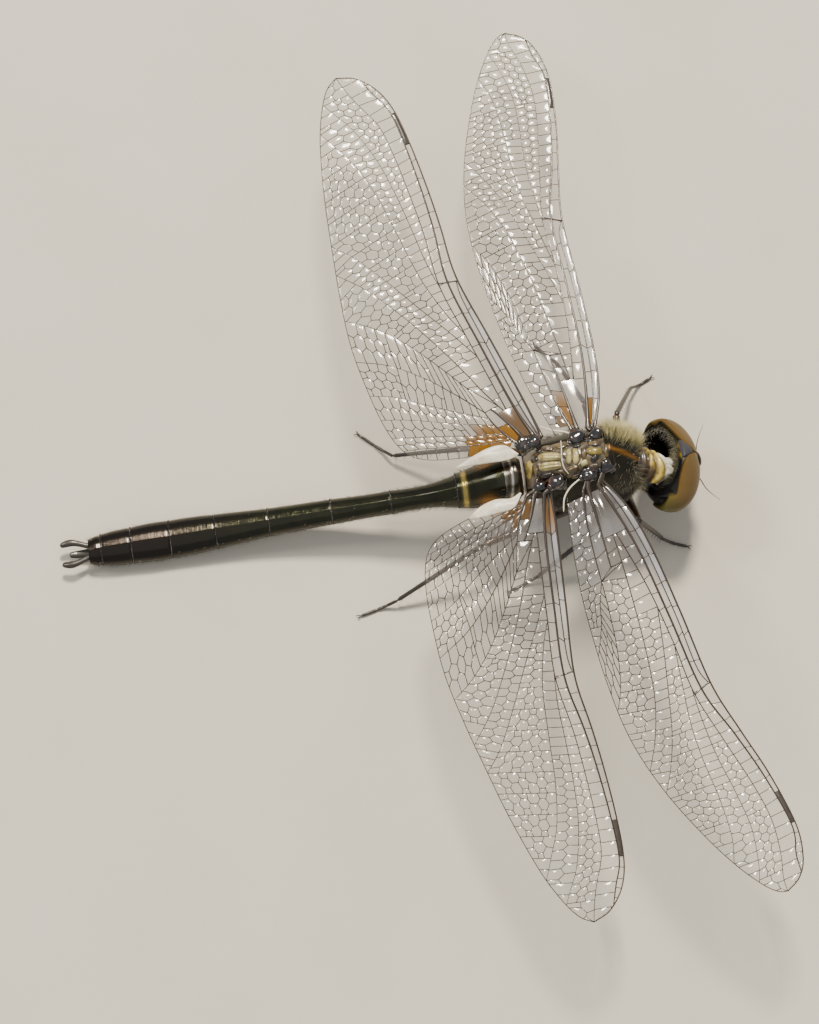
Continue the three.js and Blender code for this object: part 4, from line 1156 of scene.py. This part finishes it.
# Membranule: an opaque, slightly wavy white flap of thick membrane along the inner edge of the
# hindwing's root, matt and faintly creased.
membranule_edges = {
    # outer and inner edge, as out and forward on the wing's plan
    "hind_left": ([(-0.35, -1.95), (0.62, -2.55), (1.0, -3.6), (1.0, -5.1), (0.86, -6.4)],
                  [(-0.45, -2.1), (-0.32, -3.1), (0.12, -4.4), (0.55, -5.6), (0.82, -6.45)]),
    "hind_right": ([(0.0, -1.95), (0.95, -2.6), (1.22, -3.7), (1.36, -4.8), (1.40, -5.9)],
                   [(-0.1, -2.05), (0.25, -2.8), (0.22, -3.9), (0.62, -5.05), (1.36, -5.95)]),
}
flap_top, flap_under = 0.10, 0.04          # heights of its two faces over the wing's plane
for wing_name, (outer_points, inner_points) in membranule_edges.items():
    plan, side, hinge, sweep, lift = wing_places[wing_name]
    lay = wing_to_body(plan, wing_lines(plan), side, hinge, sweep, lift)
    outer = along_points(outer_points, np.linspace(0, 4, 60))
    inner = along_points(inner_points, np.linspace(0, 4, 60))
    across = np.linspace(0, 1, 14)[None, :, None]
    flat = outer[:, None] * (1 - across) + inner[:, None] * across
    length_share = np.linspace(0, 1, 60)[:, None]
    wave = (0.16 * np.sin(np.pi * across[..., 0]) * np.sin(np.pi * length_share)
            + 0.035 * np.sin(11 * length_share + 4 * across[..., 0]))
    top = lay(np.concatenate([flat, wave[..., None] + flap_top], -1))
    under = lay(np.concatenate([flat, wave[..., None] + flap_under], -1))
    flap = skin(np.concatenate([top, under[:, ::-1]], 1))
    piece = make_piece(f"membranule_{wing_name}", [flap], white_membrane)
    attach(piece, "root")


# ---- Legs ----------------------------------------------------------------------------------
# Six thin jointed legs of dark cuticle: hip, thigh, shin and foot. The shins carry rows of stiff
# spines that form a basket for prey, and each foot ends in two hooked claws on the floor.

legs = {
    # hip, trochanter, knee, ankle, claw
    "fore_left": [(3.9, 0.85, 3.3), (4.1, 1.6, 2.6), (4.0, 3.9, 5.1), (5.7, 6.6, 1.3), (7.4, 7.4, 0.22)],
    "fore_right": [(3.9, -0.85, 3.3), (4.05, -1.6, 2.6), (4.5, -4.0, 4.4), (6.4, -5.0, 0.9),
                   (8.2, -5.7, 0.22)],
    "mid_left": [(2.75, 1.0, 2.3), (2.6, 1.85, 1.8), (1.9, 5.3, 4.3), (0.5, 9.4, 0.85), (-0.9, 11.2, 0.22)],
    "mid_right": [(2.75, -1.0, 2.3), (2.4, -1.85, 1.8), (0.6, -4.7, 3.9), (-3.2, -6.5, 0.85),
                  (-5.4, -7.2, 0.22)],
    "hind_left": [(1.5, 1.1, 2.15), (0.6, 1.8, 1.75), (-6.4, 3.0, 4.3), (-12.6, 4.05, 0.8),
                  (-14.9, 6.15, 0.22)],
    "hind_right": [(1.5, -1.1, 2.15), (0.6, -1.8, 1.75), (-6.9, -4.15, 4.0), (-13.8, -6.85, 0.8),
                   (-16.6, -7.5, 0.22)],
}
foot_radius = 0.12


def spikes(roots, ways, lengths, radius, bend=(0, 0, 0), sides=4):
    """Thin tapered spikes, one for each root: three rings along a way that bends, closed by a tip
    point and a foot face. All arrays, with one row for each spike."""
    ways = unit(ways, 1e-9)
    lengths = np.broadcast_to(lengths, len(roots))[:, None]
    side = unit(np.cross(ways, [0.31, 0.17, 0.93]), 1e-9)
    above = np.cross(side, ways)
    around = np.linspace(0, 2 * np.pi, sides, endpoint=False)[None, :, None]
    ring = side[:, None] * np.cos(around) + above[:, None] * np.sin(around)
    spine = [roots + ways * lengths * share + np.asarray(bend) * lengths * share ** 2
             for share in (0, 0.5, 1)]
    points = np.concatenate([spine[0][:, None] + ring * radius, spine[1][:, None] + ring * radius * 0.65,
                             spine[2][:, None]], 1)
    k = np.arange(sides)
    tips = np.stack([k + sides, np.roll(k, -1) + sides, np.full(sides, 2 * sides)], 1)
    starts = np.arange(len(roots)) * (2 * sides + 1)
    caps = [(part[None] + starts[:, None, None]).reshape(-1, part.shape[1]) for part in (tips, k[::-1][None])]
    return {"points": points.reshape(-1, 3), "marks": {}, "faces": [ring_quads(sides, starts), *caps]}


def spike_row(start, stop, count, lean, outwards, length, radius):
    """Spikes at even steps along a limb, leaning towards its far end by lean."""
    start, stop = np.asarray(start, float), np.asarray(stop, float)
    roots = start + (stop - start) * np.linspace(0.12, 0.94, count)[:, None]
    ways = np.broadcast_to(np.asarray(outwards, float) + unit(stop - start) * lean, (count, 3))
    return spikes(roots, ways, length, radius)


def bone(start, stop, root, tip, bow=0.0):
    """One limb segment: a tube between two joints, swollen a little at both, tapering from root to
    tip radius and bowed upwards by bow."""
    start, stop = np.asarray(start, float), np.asarray(stop, float)
    share = np.linspace(0, 1, 40)
    path = start + (stop - start) * share[:, None] + np.array([0, 0, bow]) * np.sin(np.pi * share)[:, None]
    rounded = np.sqrt(np.clip(1 - np.abs(2 * share - 1) ** 14, 0.02, 1))
    knuckle = 1 + 0.22 * ridge(share, 0.97, 0.05) + 0.15 * ridge(share, 0.03, 0.05)
    return skin(tube(path, (root + (tip - root) * share) * knuckle * rounded, sides=14))


# Leg cuticle: brown at the hips and thighs to black on shins and feet, satin, with fine pits.
leg_tones = {"leg_brown_cuticle": ("#1F150D", "#4C321C"), "leg_black_cuticle": ("#100E0C", "#2A221A")}
leg_cuticles = {name: make_finish(name, (1200.0, 4.0), tones,
                                  {"Roughness": 0.33, "Coat Weight": 0.35, "Coat Roughness": 0.15},
                                  relief=(0.4, 0.03)) for name, tones in leg_tones.items()}

for leg_name, joints in legs.items():
    hip, trochanter, knee, ankle, claw = (np.array(joint, float) for joint in joints)
    outwards = np.array([0, np.sign(hip[1]), 0])
    shin_way = unit(ankle - knee)
    shin_side = unit(np.cross(shin_way, [0, 0, 1.0]))
    underside = np.cross(shin_side, shin_way)
    underside *= -np.sign(underside[2]) or 1
    ankle_low = np.array([ankle[0], ankle[1], ankle[2] - 0.05])
    instep = ankle + (claw - ankle) * 0.45
    instep[2] = foot_radius + 0.02
    toe = np.array([claw[0], claw[1], foot_radius])
    foot_line = along_points([ankle_low, instep, toe], np.linspace(0, 2, 50))
    share = np.linspace(0, 1, 50)
    pads = 1 - 0.22 * (ridge(share, 0.30, 0.025) + ridge(share, 0.58, 0.025))
    rounded = np.sqrt(np.clip(1 - share ** 18, 0.05, 1))
    foot_shells = [skin(tube(foot_line, foot_radius * pads * rounded, sides=12))]
    toe_way = unit(toe - instep)
    toe_side = np.cross(toe_way, [0, 0, 1.0])
    for hook_side in (-1, 1):
        hook = np.array([toe - toe_way * 0.05,
                         toe + toe_way * 0.16 + toe_side * 0.10 * hook_side + [0, 0, 0.05],
                         toe + toe_way * 0.30 + toe_side * 0.17 * hook_side - [0, 0, 0.09]])
        hook_line = along_points(hook, np.linspace(0, 2, 16))
        foot_shells.append(skin(tube(hook_line, np.linspace(0.055, 0.012, 16))))
    for way in (toe_side, -toe_side):
        foot_shells.append(spike_row(ankle_low, instep, 5, 0.8, -underside * 0.2 + way, 0.22, 0.022))
    hip_shells = [bone(hip - outwards * 0.2 + [0, 0, 0.35], trochanter, 0.52, 0.38)]
    thigh_shells = [bone(trochanter, knee, 0.36, 0.26, bow=0.1)]
    shin_shells = [bone(knee, ankle_low, 0.21, 0.15, bow=0.12)]
    for way in (shin_side, -shin_side):
        thigh_shells.append(spike_row(trochanter, knee, 12, 0.5, way + [0, 0, -0.8], 0.36, 0.02))
        shin_shells.append(spike_row(knee, ankle_low, 9, 0.9, way + underside * 0.7, 0.62, 0.03))
        shin_shells.append(spike_row(knee, ankle_low, 14, 1.2, way - underside * 0.3, 0.30, 0.016))
    for shell in foot_shells:
        shell["points"][:, 2] = np.maximum(shell["points"][:, 2], 0)
    for node, limb, shells, tone in (
            ("coxa", "hip", hip_shells, "brown"), ("femur", "thigh", thigh_shells, "brown"),
            ("tibia", "shin", shin_shells, "black"), ("tarsus", "foot", foot_shells, "black")):
        piece = make_piece(f"leg_{limb}_{leg_name}", shells, leg_cuticles[f"leg_{tone}_cuticle"])
        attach(piece, "root")
        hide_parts(f"{node}_{leg_name}")


# ---- Eyes ----------------------------------------------------------------------------------
# Two great compound eyes wrap the head and meet at the crown: smooth domes of tiny facets, still
# milky tan in a young insect and greener below, ending behind in a rounded rim.
# The head has its own frame: X out of the face, Y to the left, Z up through the crown.

head_centre = np.array([7.1, -0.36, 5.15])
head_axes = unit(np.array([[0.453, -0.300, -0.840], [-0.021, 0.938, -0.346], [0.891, 0.174, 0.417]]))
head_radii = np.array([2.1, 3.85, 2.45])
face_edge = 1.0875            # across + 0.75 * height on the line where an eye meets the face


def on_head(points):
    """Head millimetres to body millimetres."""
    return head_centre + np.asarray(points, float) @ head_axes


def head_ball(tilt, around, scale=1.0):
    """A point of the head's ellipsoid: tilt from the face axis, around from the crown to the left."""
    return np.stack([head_radii[0] * np.cos(tilt) * scale * np.ones_like(around),
                     head_radii[1] * np.sin(tilt) * np.sin(around) * scale,
                     head_radii[2] * np.sin(tilt) * np.cos(around) * scale], -1)


# Facets are 0.03 mm across in life. They are drawn as cells 0.06 mm wide, so that they show close
# up, under a clear smooth lens layer. The tan is milky, and turns to olive below. The rims are dark,
# and the rear one is dull.
eye_lens = make_finish(
    "eye_milky_tan_lens", (450.0, 2.0), ("#46371E", "#5E4C2D"),
    {"Roughness": 0.42, "Subsurface Weight": 0.12, "Subsurface Scale": 0.3 * MM, "Coat Roughness": 0.25},
    marks=(("lower", "#56502C"), ("rim", "#241D0E")),
    dull=(("dull",), {"Specular IOR Level": (0.12, 0.0), "Coat Weight": (0.12, 0.0)}),
    grain=("ShaderNodeTexVoronoi", {"Scale": 16000.0, "Randomness": 0.25}), relief=(0.2, 0.01))

rear_edge = np.array([
    # degrees round from the crown, and how far back the eye reaches there, as a tilt from the face axis
    [0, 97], [3, 103], [7, 114], [12, 120.5], [20, 125], [30, 128], [42, 128.5], [53, 127], [62, 123],
    [70, 118.5], [74, 117], [79, 119], [84, 121.5], [89, 121], [95, 116.5], [100, 112], [106, 106.5],
    [115, 98], [127, 88], [138, 84]])
inner_wall = 0.86             # the size of the lens's inner wall as a share of the head's ellipsoid
for side_name, side in (("left", 1), ("right", -1)):
    around = np.radians(np.linspace(1.0, 137.5, 150))[:, None]
    reach = face_edge / (head_radii[1] * np.sin(around) + 0.75 * head_radii[2] * np.cos(around))
    front_tilt = np.arcsin(np.clip(reach, 0, 0.995))
    share = np.linspace(0, 1, 60)[None]
    rear_tilt = np.radians(np.interp(np.degrees(around), rear_edge[:, 0], rear_edge[:, 1]))
    tilt = front_tilt + (rear_tilt - front_tilt) * share
    fall = 0.022 * smooth_step((share - 0.93) / 0.07) + 0.035 * smooth_step((0.06 - share) / 0.06)
    outer = head_ball(tilt, around, 1 - fall)
    inner = head_ball(tilt[:, ::-1], around, inner_wall)
    points = np.concatenate([outer, inner], 1)
    points[..., 1] *= side
    lower = np.broadcast_to(smooth_step((np.degrees(around) - 62) / 45), tilt.shape)
    rim = 0.6 * smooth_step((share - 0.982) / 0.015) + smooth_step((0.03 - share) / 0.02)
    rim = np.broadcast_to(rim, tilt.shape)
    dull = np.broadcast_to(smooth_step((share - 0.91) / 0.03), tilt.shape)
    marks = {"lower": np.concatenate([lower, lower], 1), "rim": np.concatenate([rim, rim], 1),
             "dull": np.concatenate([dull, np.ones_like(dull)], 1)}
    eye = make_piece(f"eye_{side_name}_lens", [skin(on_head(points), marks)], eye_lens)
    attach(eye, "root")
    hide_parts(f"eye_{side_name}")


# ---- Back of the head ----------------------------------------------------------------------
# The rear of the head is a black horny bowl: a glossy band behind the eyes, a bristly ridge inside
# it, and a hollow where the neck enters, deepest on the animal's left of the neck.

bowl_reach = np.array([0.965, 0.885, 0.80, 0.70, 0.60, 0.48, 0.34, 0.17, 0.02])
bowl_depth = np.array([0.0, -0.84, -0.98, -1.12, -1.34, -1.15, -0.75, -0.42, -0.35])


def bowl_surface(share, around):
    """The bowl in head millimetres: share runs from the rim behind the eyes to the middle, around
    from the crown to the left. Its depth follows a profile, with waves on the ridge and one hollow."""
    reach = np.interp(share, np.linspace(0, 1, 9), bowl_reach)
    depth = along_points(bowl_depth[:, None], share * 8)[..., 0]
    uneven = (0.05 * np.sin(5 * around + 1.0) * ridge(share, 0.55, 0.13)
              + 0.04 * np.sin(9 * around) * ridge(share, 0.6, 0.14))
    narrow = 1 - 0.05 * smooth_step((0.35 - np.cos(around)) / 0.3) * smooth_step((0.5 - share) / 0.3)
    inner = smooth_step((share - 0.4) / 0.6)
    y = head_radii[1] * reach * narrow * np.sin(around) - 0.45 * inner
    z = head_radii[2] * reach * narrow * np.cos(around) + 0.05 * inner
    hollow = 0.5 * ridge(y, 1.35, 0.9) * ridge(z, -0.1, 0.8)
    return np.stack([depth + uneven + hollow, y, z], -1)


def bare_hollow(points):
    """1 in the deep hollow on the left of the neck, where the bowl is bare and black."""
    return np.clip(1.5 * ridge(points[..., 1], 1.4, 1.0) * ridge(points[..., 2], -0.15, 0.95), 0, 1)


def bristle_ridge(share, around):
    """1 along the bristly ridge round the hollow."""
    return ridge(share, 0.56 - 0.10 * np.sin(around), 0.10)


share, around = all_round(90, 150)
bowl = bowl_surface(share, around)
bowl_wall, inside_size = 0.35, 0.93        # how thick the bowl is, and its inside's share of its width
inside = bowl[::-1] * np.array([1, inside_size, inside_size]) + np.array([bowl_wall, 0, 0])
crown_turn = (np.degrees(around) + 180) % 360 - 180
bowl_marks = {
    "bristly": bristle_ridge(share, around) * (1 - bare_hollow(bowl)),
    "bare": bare_hollow(bowl),
    "spots": (np.clip(0.7 * ridge(crown_turn, 9, 6) + ridge(crown_turn, -8, 5), 0, 1)
              * ridge(share, 0.37, 0.06)),
}

# Black cuticle, dull olive grey on the ridge, with two small amber spots below the crown, where
# a three-cornered plate of polished lilac grey points forward between the eyes.
head_back_cuticle = make_finish(
    "head_back_black_cuticle", (1500.0, 4.0), ("#010101", "#080706"), {},
    marks=(("bristly", "#3A3929"), ("lilac", "#38383E"), ("spots", "#6E5712"), ("bare", "#010101")),
    dull=(("bristly", "bare"), {"Roughness": (0.34, 0.75), "Specular IOR Level": (0.1, 0.02)}),
    relief=(0.8, 0.06))

both = {name: np.concatenate([mark, np.zeros_like(mark)]) for name, mark in bowl_marks.items()}
# The plate runs from its base at the rear of the eyes (share 0) to its tip in the seam (share 1),
# arched across and rounded over at the base.
share, across = np.meshgrid(np.linspace(0, 1, 50), np.linspace(-1, 1, 40), indexing="ij")
half_turn = np.radians(15.5 * (1 - share) ** 1.25 + 0.8)
plate_tilt = np.radians(129 - 32 * share ** 0.9)
arch = (0.955 + 0.045 * np.sqrt(np.clip(1 - across ** 2, 0, 1)) * smooth_step((1.1 - share) / 0.5)
        - 0.16 * smooth_step((0.16 - share) / 0.16) ** 2)
plate_turn = np.radians(2.5 * (1 - share)) + half_turn * across
plate_floor = 0.78            # the plate's underside, as a share of the head's ellipsoid
plate = np.concatenate([head_ball(plate_tilt, plate_turn, arch),
                        head_ball(plate_tilt, plate_turn, plate_floor)[:, ::-1]], 1)
both["lilac"] = np.zeros(both["spots"].shape)
lilac = {name: np.full(plate.shape[:2], float(name == "lilac")) for name in both}
head_back = make_piece("head_back_bowl", [skin(on_head(np.concatenate([bowl, inside])), both),
                                          skin(on_head(plate), lilac)], head_back_cuticle)
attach(head_back, "root")
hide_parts("head_capsule")


# ---- Face ----------------------------------------------------------------------------------
# Between the eyes, from the crown down: a small vertex with three simple eyes, a bulging forehead of
# metallic green with a furrow down its middle, the yellow-brown lip shield with the upper lip, and
# the broad lower lip, whose two side lobes close under the jaws.

block_back = 0.35             # how far a block of the face reaches back of its middle


def face_block(low, high, depths, widths, relief):
    """A block of the face: at each height a ring that is half an ellipse in front, depths deep and
    widths wide, and flat behind. depths and widths are read along smooth curves from low to high."""
    share, around = all_round(50, 72)
    around = around - np.pi
    depth, width = (along_points(np.array(sizes)[:, None], share * (len(sizes) - 1))[..., 0]
                    for sizes in (depths, widths))
    ahead = np.cos(around)
    x = np.where(ahead > 0, depth * ahead, block_back * ahead)
    y = width * np.sin(around)
    bump = relief(share, y / width) * np.maximum(ahead, 0) ** 0.5
    ends = np.sqrt(np.clip(1 - np.abs(2 * share - 1) ** 10, 0.02, 1))
    z = low + (high - low) * share
    return skin(on_head(np.stack([(x + bump) * (0.8 + 0.2 * ends), y * ends, z], -1)))


def frons_relief(share, across):
    """Two lobes with a furrow between, and a sharp ledge above them."""
    return 0.16 * ridge(np.abs(across), 0.45, 0.32) * ridge(share, 0.45, 0.4) - 0.16 * ridge(across, 0, 0.13)


def lip_relief(share, across):
    """The lip shield's cross fold, and the upper lip's free edge with a notch."""
    return -0.14 * ridge(share, 0.45, 0.05) + 0.10 * ridge(share, 0.72, 0.12) + 0.12 * ridge(share, 0.2, 0.14)


def lower_lip_relief(share, across):
    """Two side lobes that meet in a seam, over a small middle lobe."""
    return (-0.12 * ridge(across, 0, 0.06) * smooth_step((share - 0.25) / 0.1)
            + 0.06 * ridge(np.abs(across), 0.5, 0.3))


# Forehead: metallic green-black cuticle, pitted and hairy.
forehead_cuticle = make_finish(
    "forehead_metallic_cuticle", (900.0, 3.0), ("#0F1F17", "#31402A"),
    {"Metallic": 0.5, "Roughness": 0.28, "Coat Weight": 0.5, "Coat Roughness": 0.1},
    grain=("ShaderNodeTexVoronoi", {"Scale": 7000.0}), relief=(0.4, 0.02))

# Mouth parts: horny cuticle, yellow-brown with darker edges, satin.
lip_cuticle = make_finish(
    "lip_yellow_brown_cuticle", (1100.0, 4.0), ("#6E4A22", "#B08A45"),
    {"Roughness": 0.38, "Coat Weight": 0.3}, contrast=(0.4, 0.6), relief=(0.4, 0.04))

face_parts = [
    # piece, node, lowest and highest place, depths and widths from low to high, relief, cuticle
    ("face_forehead", "frons", -0.12, 1.25, [2.2, 2.45, 2.35, 1.9, 1.3], [1.05, 0.98, 0.72, 0.42, 0.2],
     frons_relief, forehead_cuticle),
    ("face_lip_shield", "clypeus", -1.42, -0.16, [1.85, 2.1, 2.2, 2.25], [1.95, 1.75, 1.4, 1.05],
     lip_relief, lip_cuticle),
    ("face_lower_lip", "labium", -2.38, -1.46, [0.7, 1.25, 1.6, 1.75], [0.9, 1.5, 1.85, 1.95],
     lower_lip_relief, lip_cuticle),
]
for piece_name, node, low, high, depths, widths, relief, cuticle in face_parts:
    piece = make_piece(piece_name, [face_block(low, high, depths, widths, relief)], cuticle)
    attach(piece, "root")
    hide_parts(node)


def bead(centre, radii):
    """A small ellipsoid bead, in head millimetres."""
    return skin(on_head(np.asarray(centre) + ball(16, 24, 0.05)[..., [1, 2, 0]] * np.asarray(radii)))


vertex = make_piece("face_vertex", [bead((1.55, 0, 1.42), (0.42, 0.34, 0.32)),
                                    bead((0.5, -0.15, 2.2), (0.52, 0.66, 0.30))], head_back_cuticle)
# Simple eyes: glassy amber beads on the vertex.
ocellus_lens = make_finish("simple_eye_amber_lens", (3000.0, 2.0), ("#8A5A24", "#C8A060"),
                           {"Roughness": 0.1, "Coat Weight": 1.0})
simple_eyes = make_piece("face_simple_eyes", [bead((1.95, 0, 1.38), (0.1, 0.12, 0.12)),
                                              bead((1.6, 0.32, 1.5), (0.1, 0.1, 0.1)),
                                              bead((1.6, -0.32, 1.5), (0.1, 0.1, 0.1))], ocellus_lens)
for piece in (vertex, simple_eyes):
    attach(piece, "root")


# ---- Antennae ------------------------------------------------------------------------------
# Two short bristles that feel the air, each of two thick joints at the base and a thread that tapers
# to nothing, in the same black cuticle as the shins.

for side_name, side in (("left", 1), ("right", -1)):
    path = on_head([(2.05, side * 0.45, 1.28), (2.25, side * 0.8, 1.5), (2.05, side * 2.05, 1.95),
                    (2.0, side * 3.3, 2.75)])
    share = np.linspace(0, 1, 70)
    line = along_points(path, share * 3)
    size = (0.028 + 0.03 * (1 - share) + 0.11 * smooth_step((0.28 - share) / 0.05)
            - 0.05 * ridge(share, 0.13, 0.015))
    bristle = skin(tube(line, size * (1 - 0.5 * share ** 3), sides=10))
    piece = make_piece(f"antenna_{side_name}_bristle", [bristle], leg_cuticles["leg_black_cuticle"])
    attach(piece, "root")
    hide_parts(f"antenna_{side_name}")


# ---- Hair ----------------------------------------------------------------------------------
# Fine pale hairs grow thickly on the front and sides of the thorax, longest on its left shoulder,
# thinly on the abdomen, and as grey bristles in the back of the head. Each is a bent spike 0.017 to
# 0.025 mm thick, about twice the real hair, so that it shows, with its own patch on the map OFBake.

hair_patch = 0.003            # width of a hair's patch on its map


def hair_shell(roots, ways, lengths, radius, places, bend):
    """Hairs as spikes, with the place of each root on the skin's own map, about which the hair's
    points lie in a small ring."""
    shell = spikes(roots, ways, lengths, radius, bend=bend, sides=3)
    each = len(shell["points"]) // len(roots)
    ring = np.linspace(0, 2 * np.pi, each, endpoint=False)
    spread = np.stack([np.cos(ring), np.sin(ring)], -1) * hair_patch / 2
    shell["marks"] = {"OFBake": (places[:, None] + spread[None]).reshape(-1, 2)}
    return shell


# Hair: clear keratin-like chitin, cream to grey, with a silky gloss.
hair_tones = {"hair_cream": ("#857A3E", "#C2B678"), "hair_silver": ("#4C4830", "#9A946F"),
              "hair_grey": ("#2A261A", "#716A4E")}
hairs = {name: make_finish(name, (700.0, 2.0), tones, {"Roughness": 0.4, "Sheen Weight": 0.3},
                           contrast=(0.35, 0.65)) for name, tones in hair_tones.items()}

thorax_hair_radius, abdomen_hair_radius, bristle_radius = 0.0125, 0.010, 0.0085
hair_ceiling = 10.45          # no tip stands higher, so that the coat stays in the model's box
coats = [
    # name, tries, seed, finish, shortest and longest, stand, flow, spread
    ("thorax_hair", 30000, 7, "hair_grey", 0.35, 0.70, 0.7, (-0.45, 0, -0.25), 0.16),
    ("thorax_shoulder_hair", 30000, 8, "hair_cream", 0.70, 1.20, 0.8, (0.05, 0.30, 0.05), 0.10),
    ("thorax_collar_hair", 11000, 9, "hair_silver", 0.60, 1.25, 0.9, (0.55, -0.05, -0.05), 0.20),
]
for coat_name, tries, seed, finish, shortest, longest, stand, flow, scatter in coats:
    rng = np.random.default_rng(seed)
    t = rng.uniform(0.03, 0.985, tries)
    angle = rng.uniform(0, 2 * np.pi, tries)
    roots = thorax_surface(t, angle)
    normals = normals_of(thorax_surface, t, angle, np.stack([0 * angle, -np.cos(angle), np.sin(angle)], -1))
    x, y, z = roots.T
    front = smooth_step((x - 2.6) / 0.8)
    off_keel = 1 - ridge(y, thorax_lean * (z - lean_pivot) + 0.16 - 0.32 * (x - 2.9), 0.35)
    if coat_name == "thorax_hair":
        chance = (0.30 * smooth_step((0.45 - np.sin(angle)) / 0.3) + 0.03 * front * off_keel
                  + 0.2 * ridge(x, 4.6, 0.3) * off_keel)
    elif coat_name == "thorax_shoulder_hair":
        chance = ridge(angle, 2.45, 0.42) * smooth_step((x - 2.2) / 0.5) * off_keel
    else:
        chance = (0.15 + 0.85 * smooth_step((-1.1 - y) / 0.6)) * smooth_step((x - 4.3) / 0.4) * off_keel
    keep = rng.uniform(0, 1, tries) < np.clip(chance, 0, 1)
    t, angle, roots, normals = t[keep], angle[keep], roots[keep], normals[keep]
    ways = unit(normals * stand + np.array(flow) + rng.normal(0, scatter, roots.shape))
    lengths = rng.uniform(shortest, longest, len(roots))
    room = (hair_ceiling - roots[:, 2]) / np.maximum(ways[:, 2], 0.05)
    lengths = np.minimum(lengths, np.maximum(room, 0.05))
    places = np.stack([t, angle / (2 * np.pi)], -1)
    shell = hair_shell(roots, ways, lengths, thorax_hair_radius, places, (-0.06, 0, -0.12))
    coat = make_piece(coat_name, [shell], hairs[finish])
    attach(coat, "root")

rng = np.random.default_rng(21)
abdomen_hairs = []
for ring, tries in enumerate([900, 1500, 1600, 1100, 900, 800, 700, 700, 600, 400]):
    t = rng.uniform(0.05, 0.97, tries)
    angle = rng.uniform(0, 2 * np.pi, tries)
    chance = (0.9 if ring < 3 else 0.5) * ridge(np.sin(angle), -0.15, 0.42)
    keep = rng.uniform(0, 1, tries) < np.clip(chance, 0, 1)
    t, angle = t[keep], angle[keep]
    roots = abdomen_surface(ring, t, angle)
    normals = np.stack([0 * angle, np.cos(angle), np.sin(angle)], -1)
    ways = normals * 0.6 + np.array([-0.8, 0, 0]) + rng.normal(0, 0.12, roots.shape)
    lengths = rng.uniform(0.18, 0.40, len(roots)) * (1.3 if ring < 3 else 1)
    keep = roots[:, 2] > 0.25
    places = np.stack([(ring + t) / 10, angle / (2 * np.pi)], -1)
    abdomen_hairs.append(hair_shell(roots[keep], ways[keep], lengths[keep], abdomen_hair_radius,
                                    places[keep], (-0.1, 0, 0)))
coat = make_piece("abdomen_hair", abdomen_hairs, hairs["hair_grey"])
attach(coat, "root")

rng = np.random.default_rng(22)
tries = 9000
share = rng.uniform(0.22, 0.8, tries)
around = rng.uniform(0, 2 * np.pi, tries)
roots = bowl_surface(share, around)
normals = normals_of(bowl_surface, share, around, np.array([-1.0, 0, 0]))
chance = 0.34 * bristle_ridge(share, around) * (1 - bare_hollow(roots))
chance = chance + 0.35 * ridge(roots[:, 1], 2.3, 0.6) * ridge(roots[:, 2], -1.1, 0.6)
keep = rng.uniform(0, 1, tries) < np.clip(chance, 0, 1)
share, around, roots, normals = share[keep], around[keep], roots[keep], normals[keep]
inward = -roots * np.array([0, 0.25, 0.40])
ways = normals * 0.45 + inward + rng.normal(0, 0.2, roots.shape)
lengths = rng.uniform(0.30, 0.62, len(roots))
places = np.stack([share, around / (2 * np.pi)], -1)
shell = hair_shell(roots, ways, lengths, bristle_radius, places, (0, 0, -0.04))
shell["points"] = on_head(shell["points"])
head_coat = make_piece("head_back_bristles", [shell], hairs["hair_grey"])
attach(head_coat, "root")
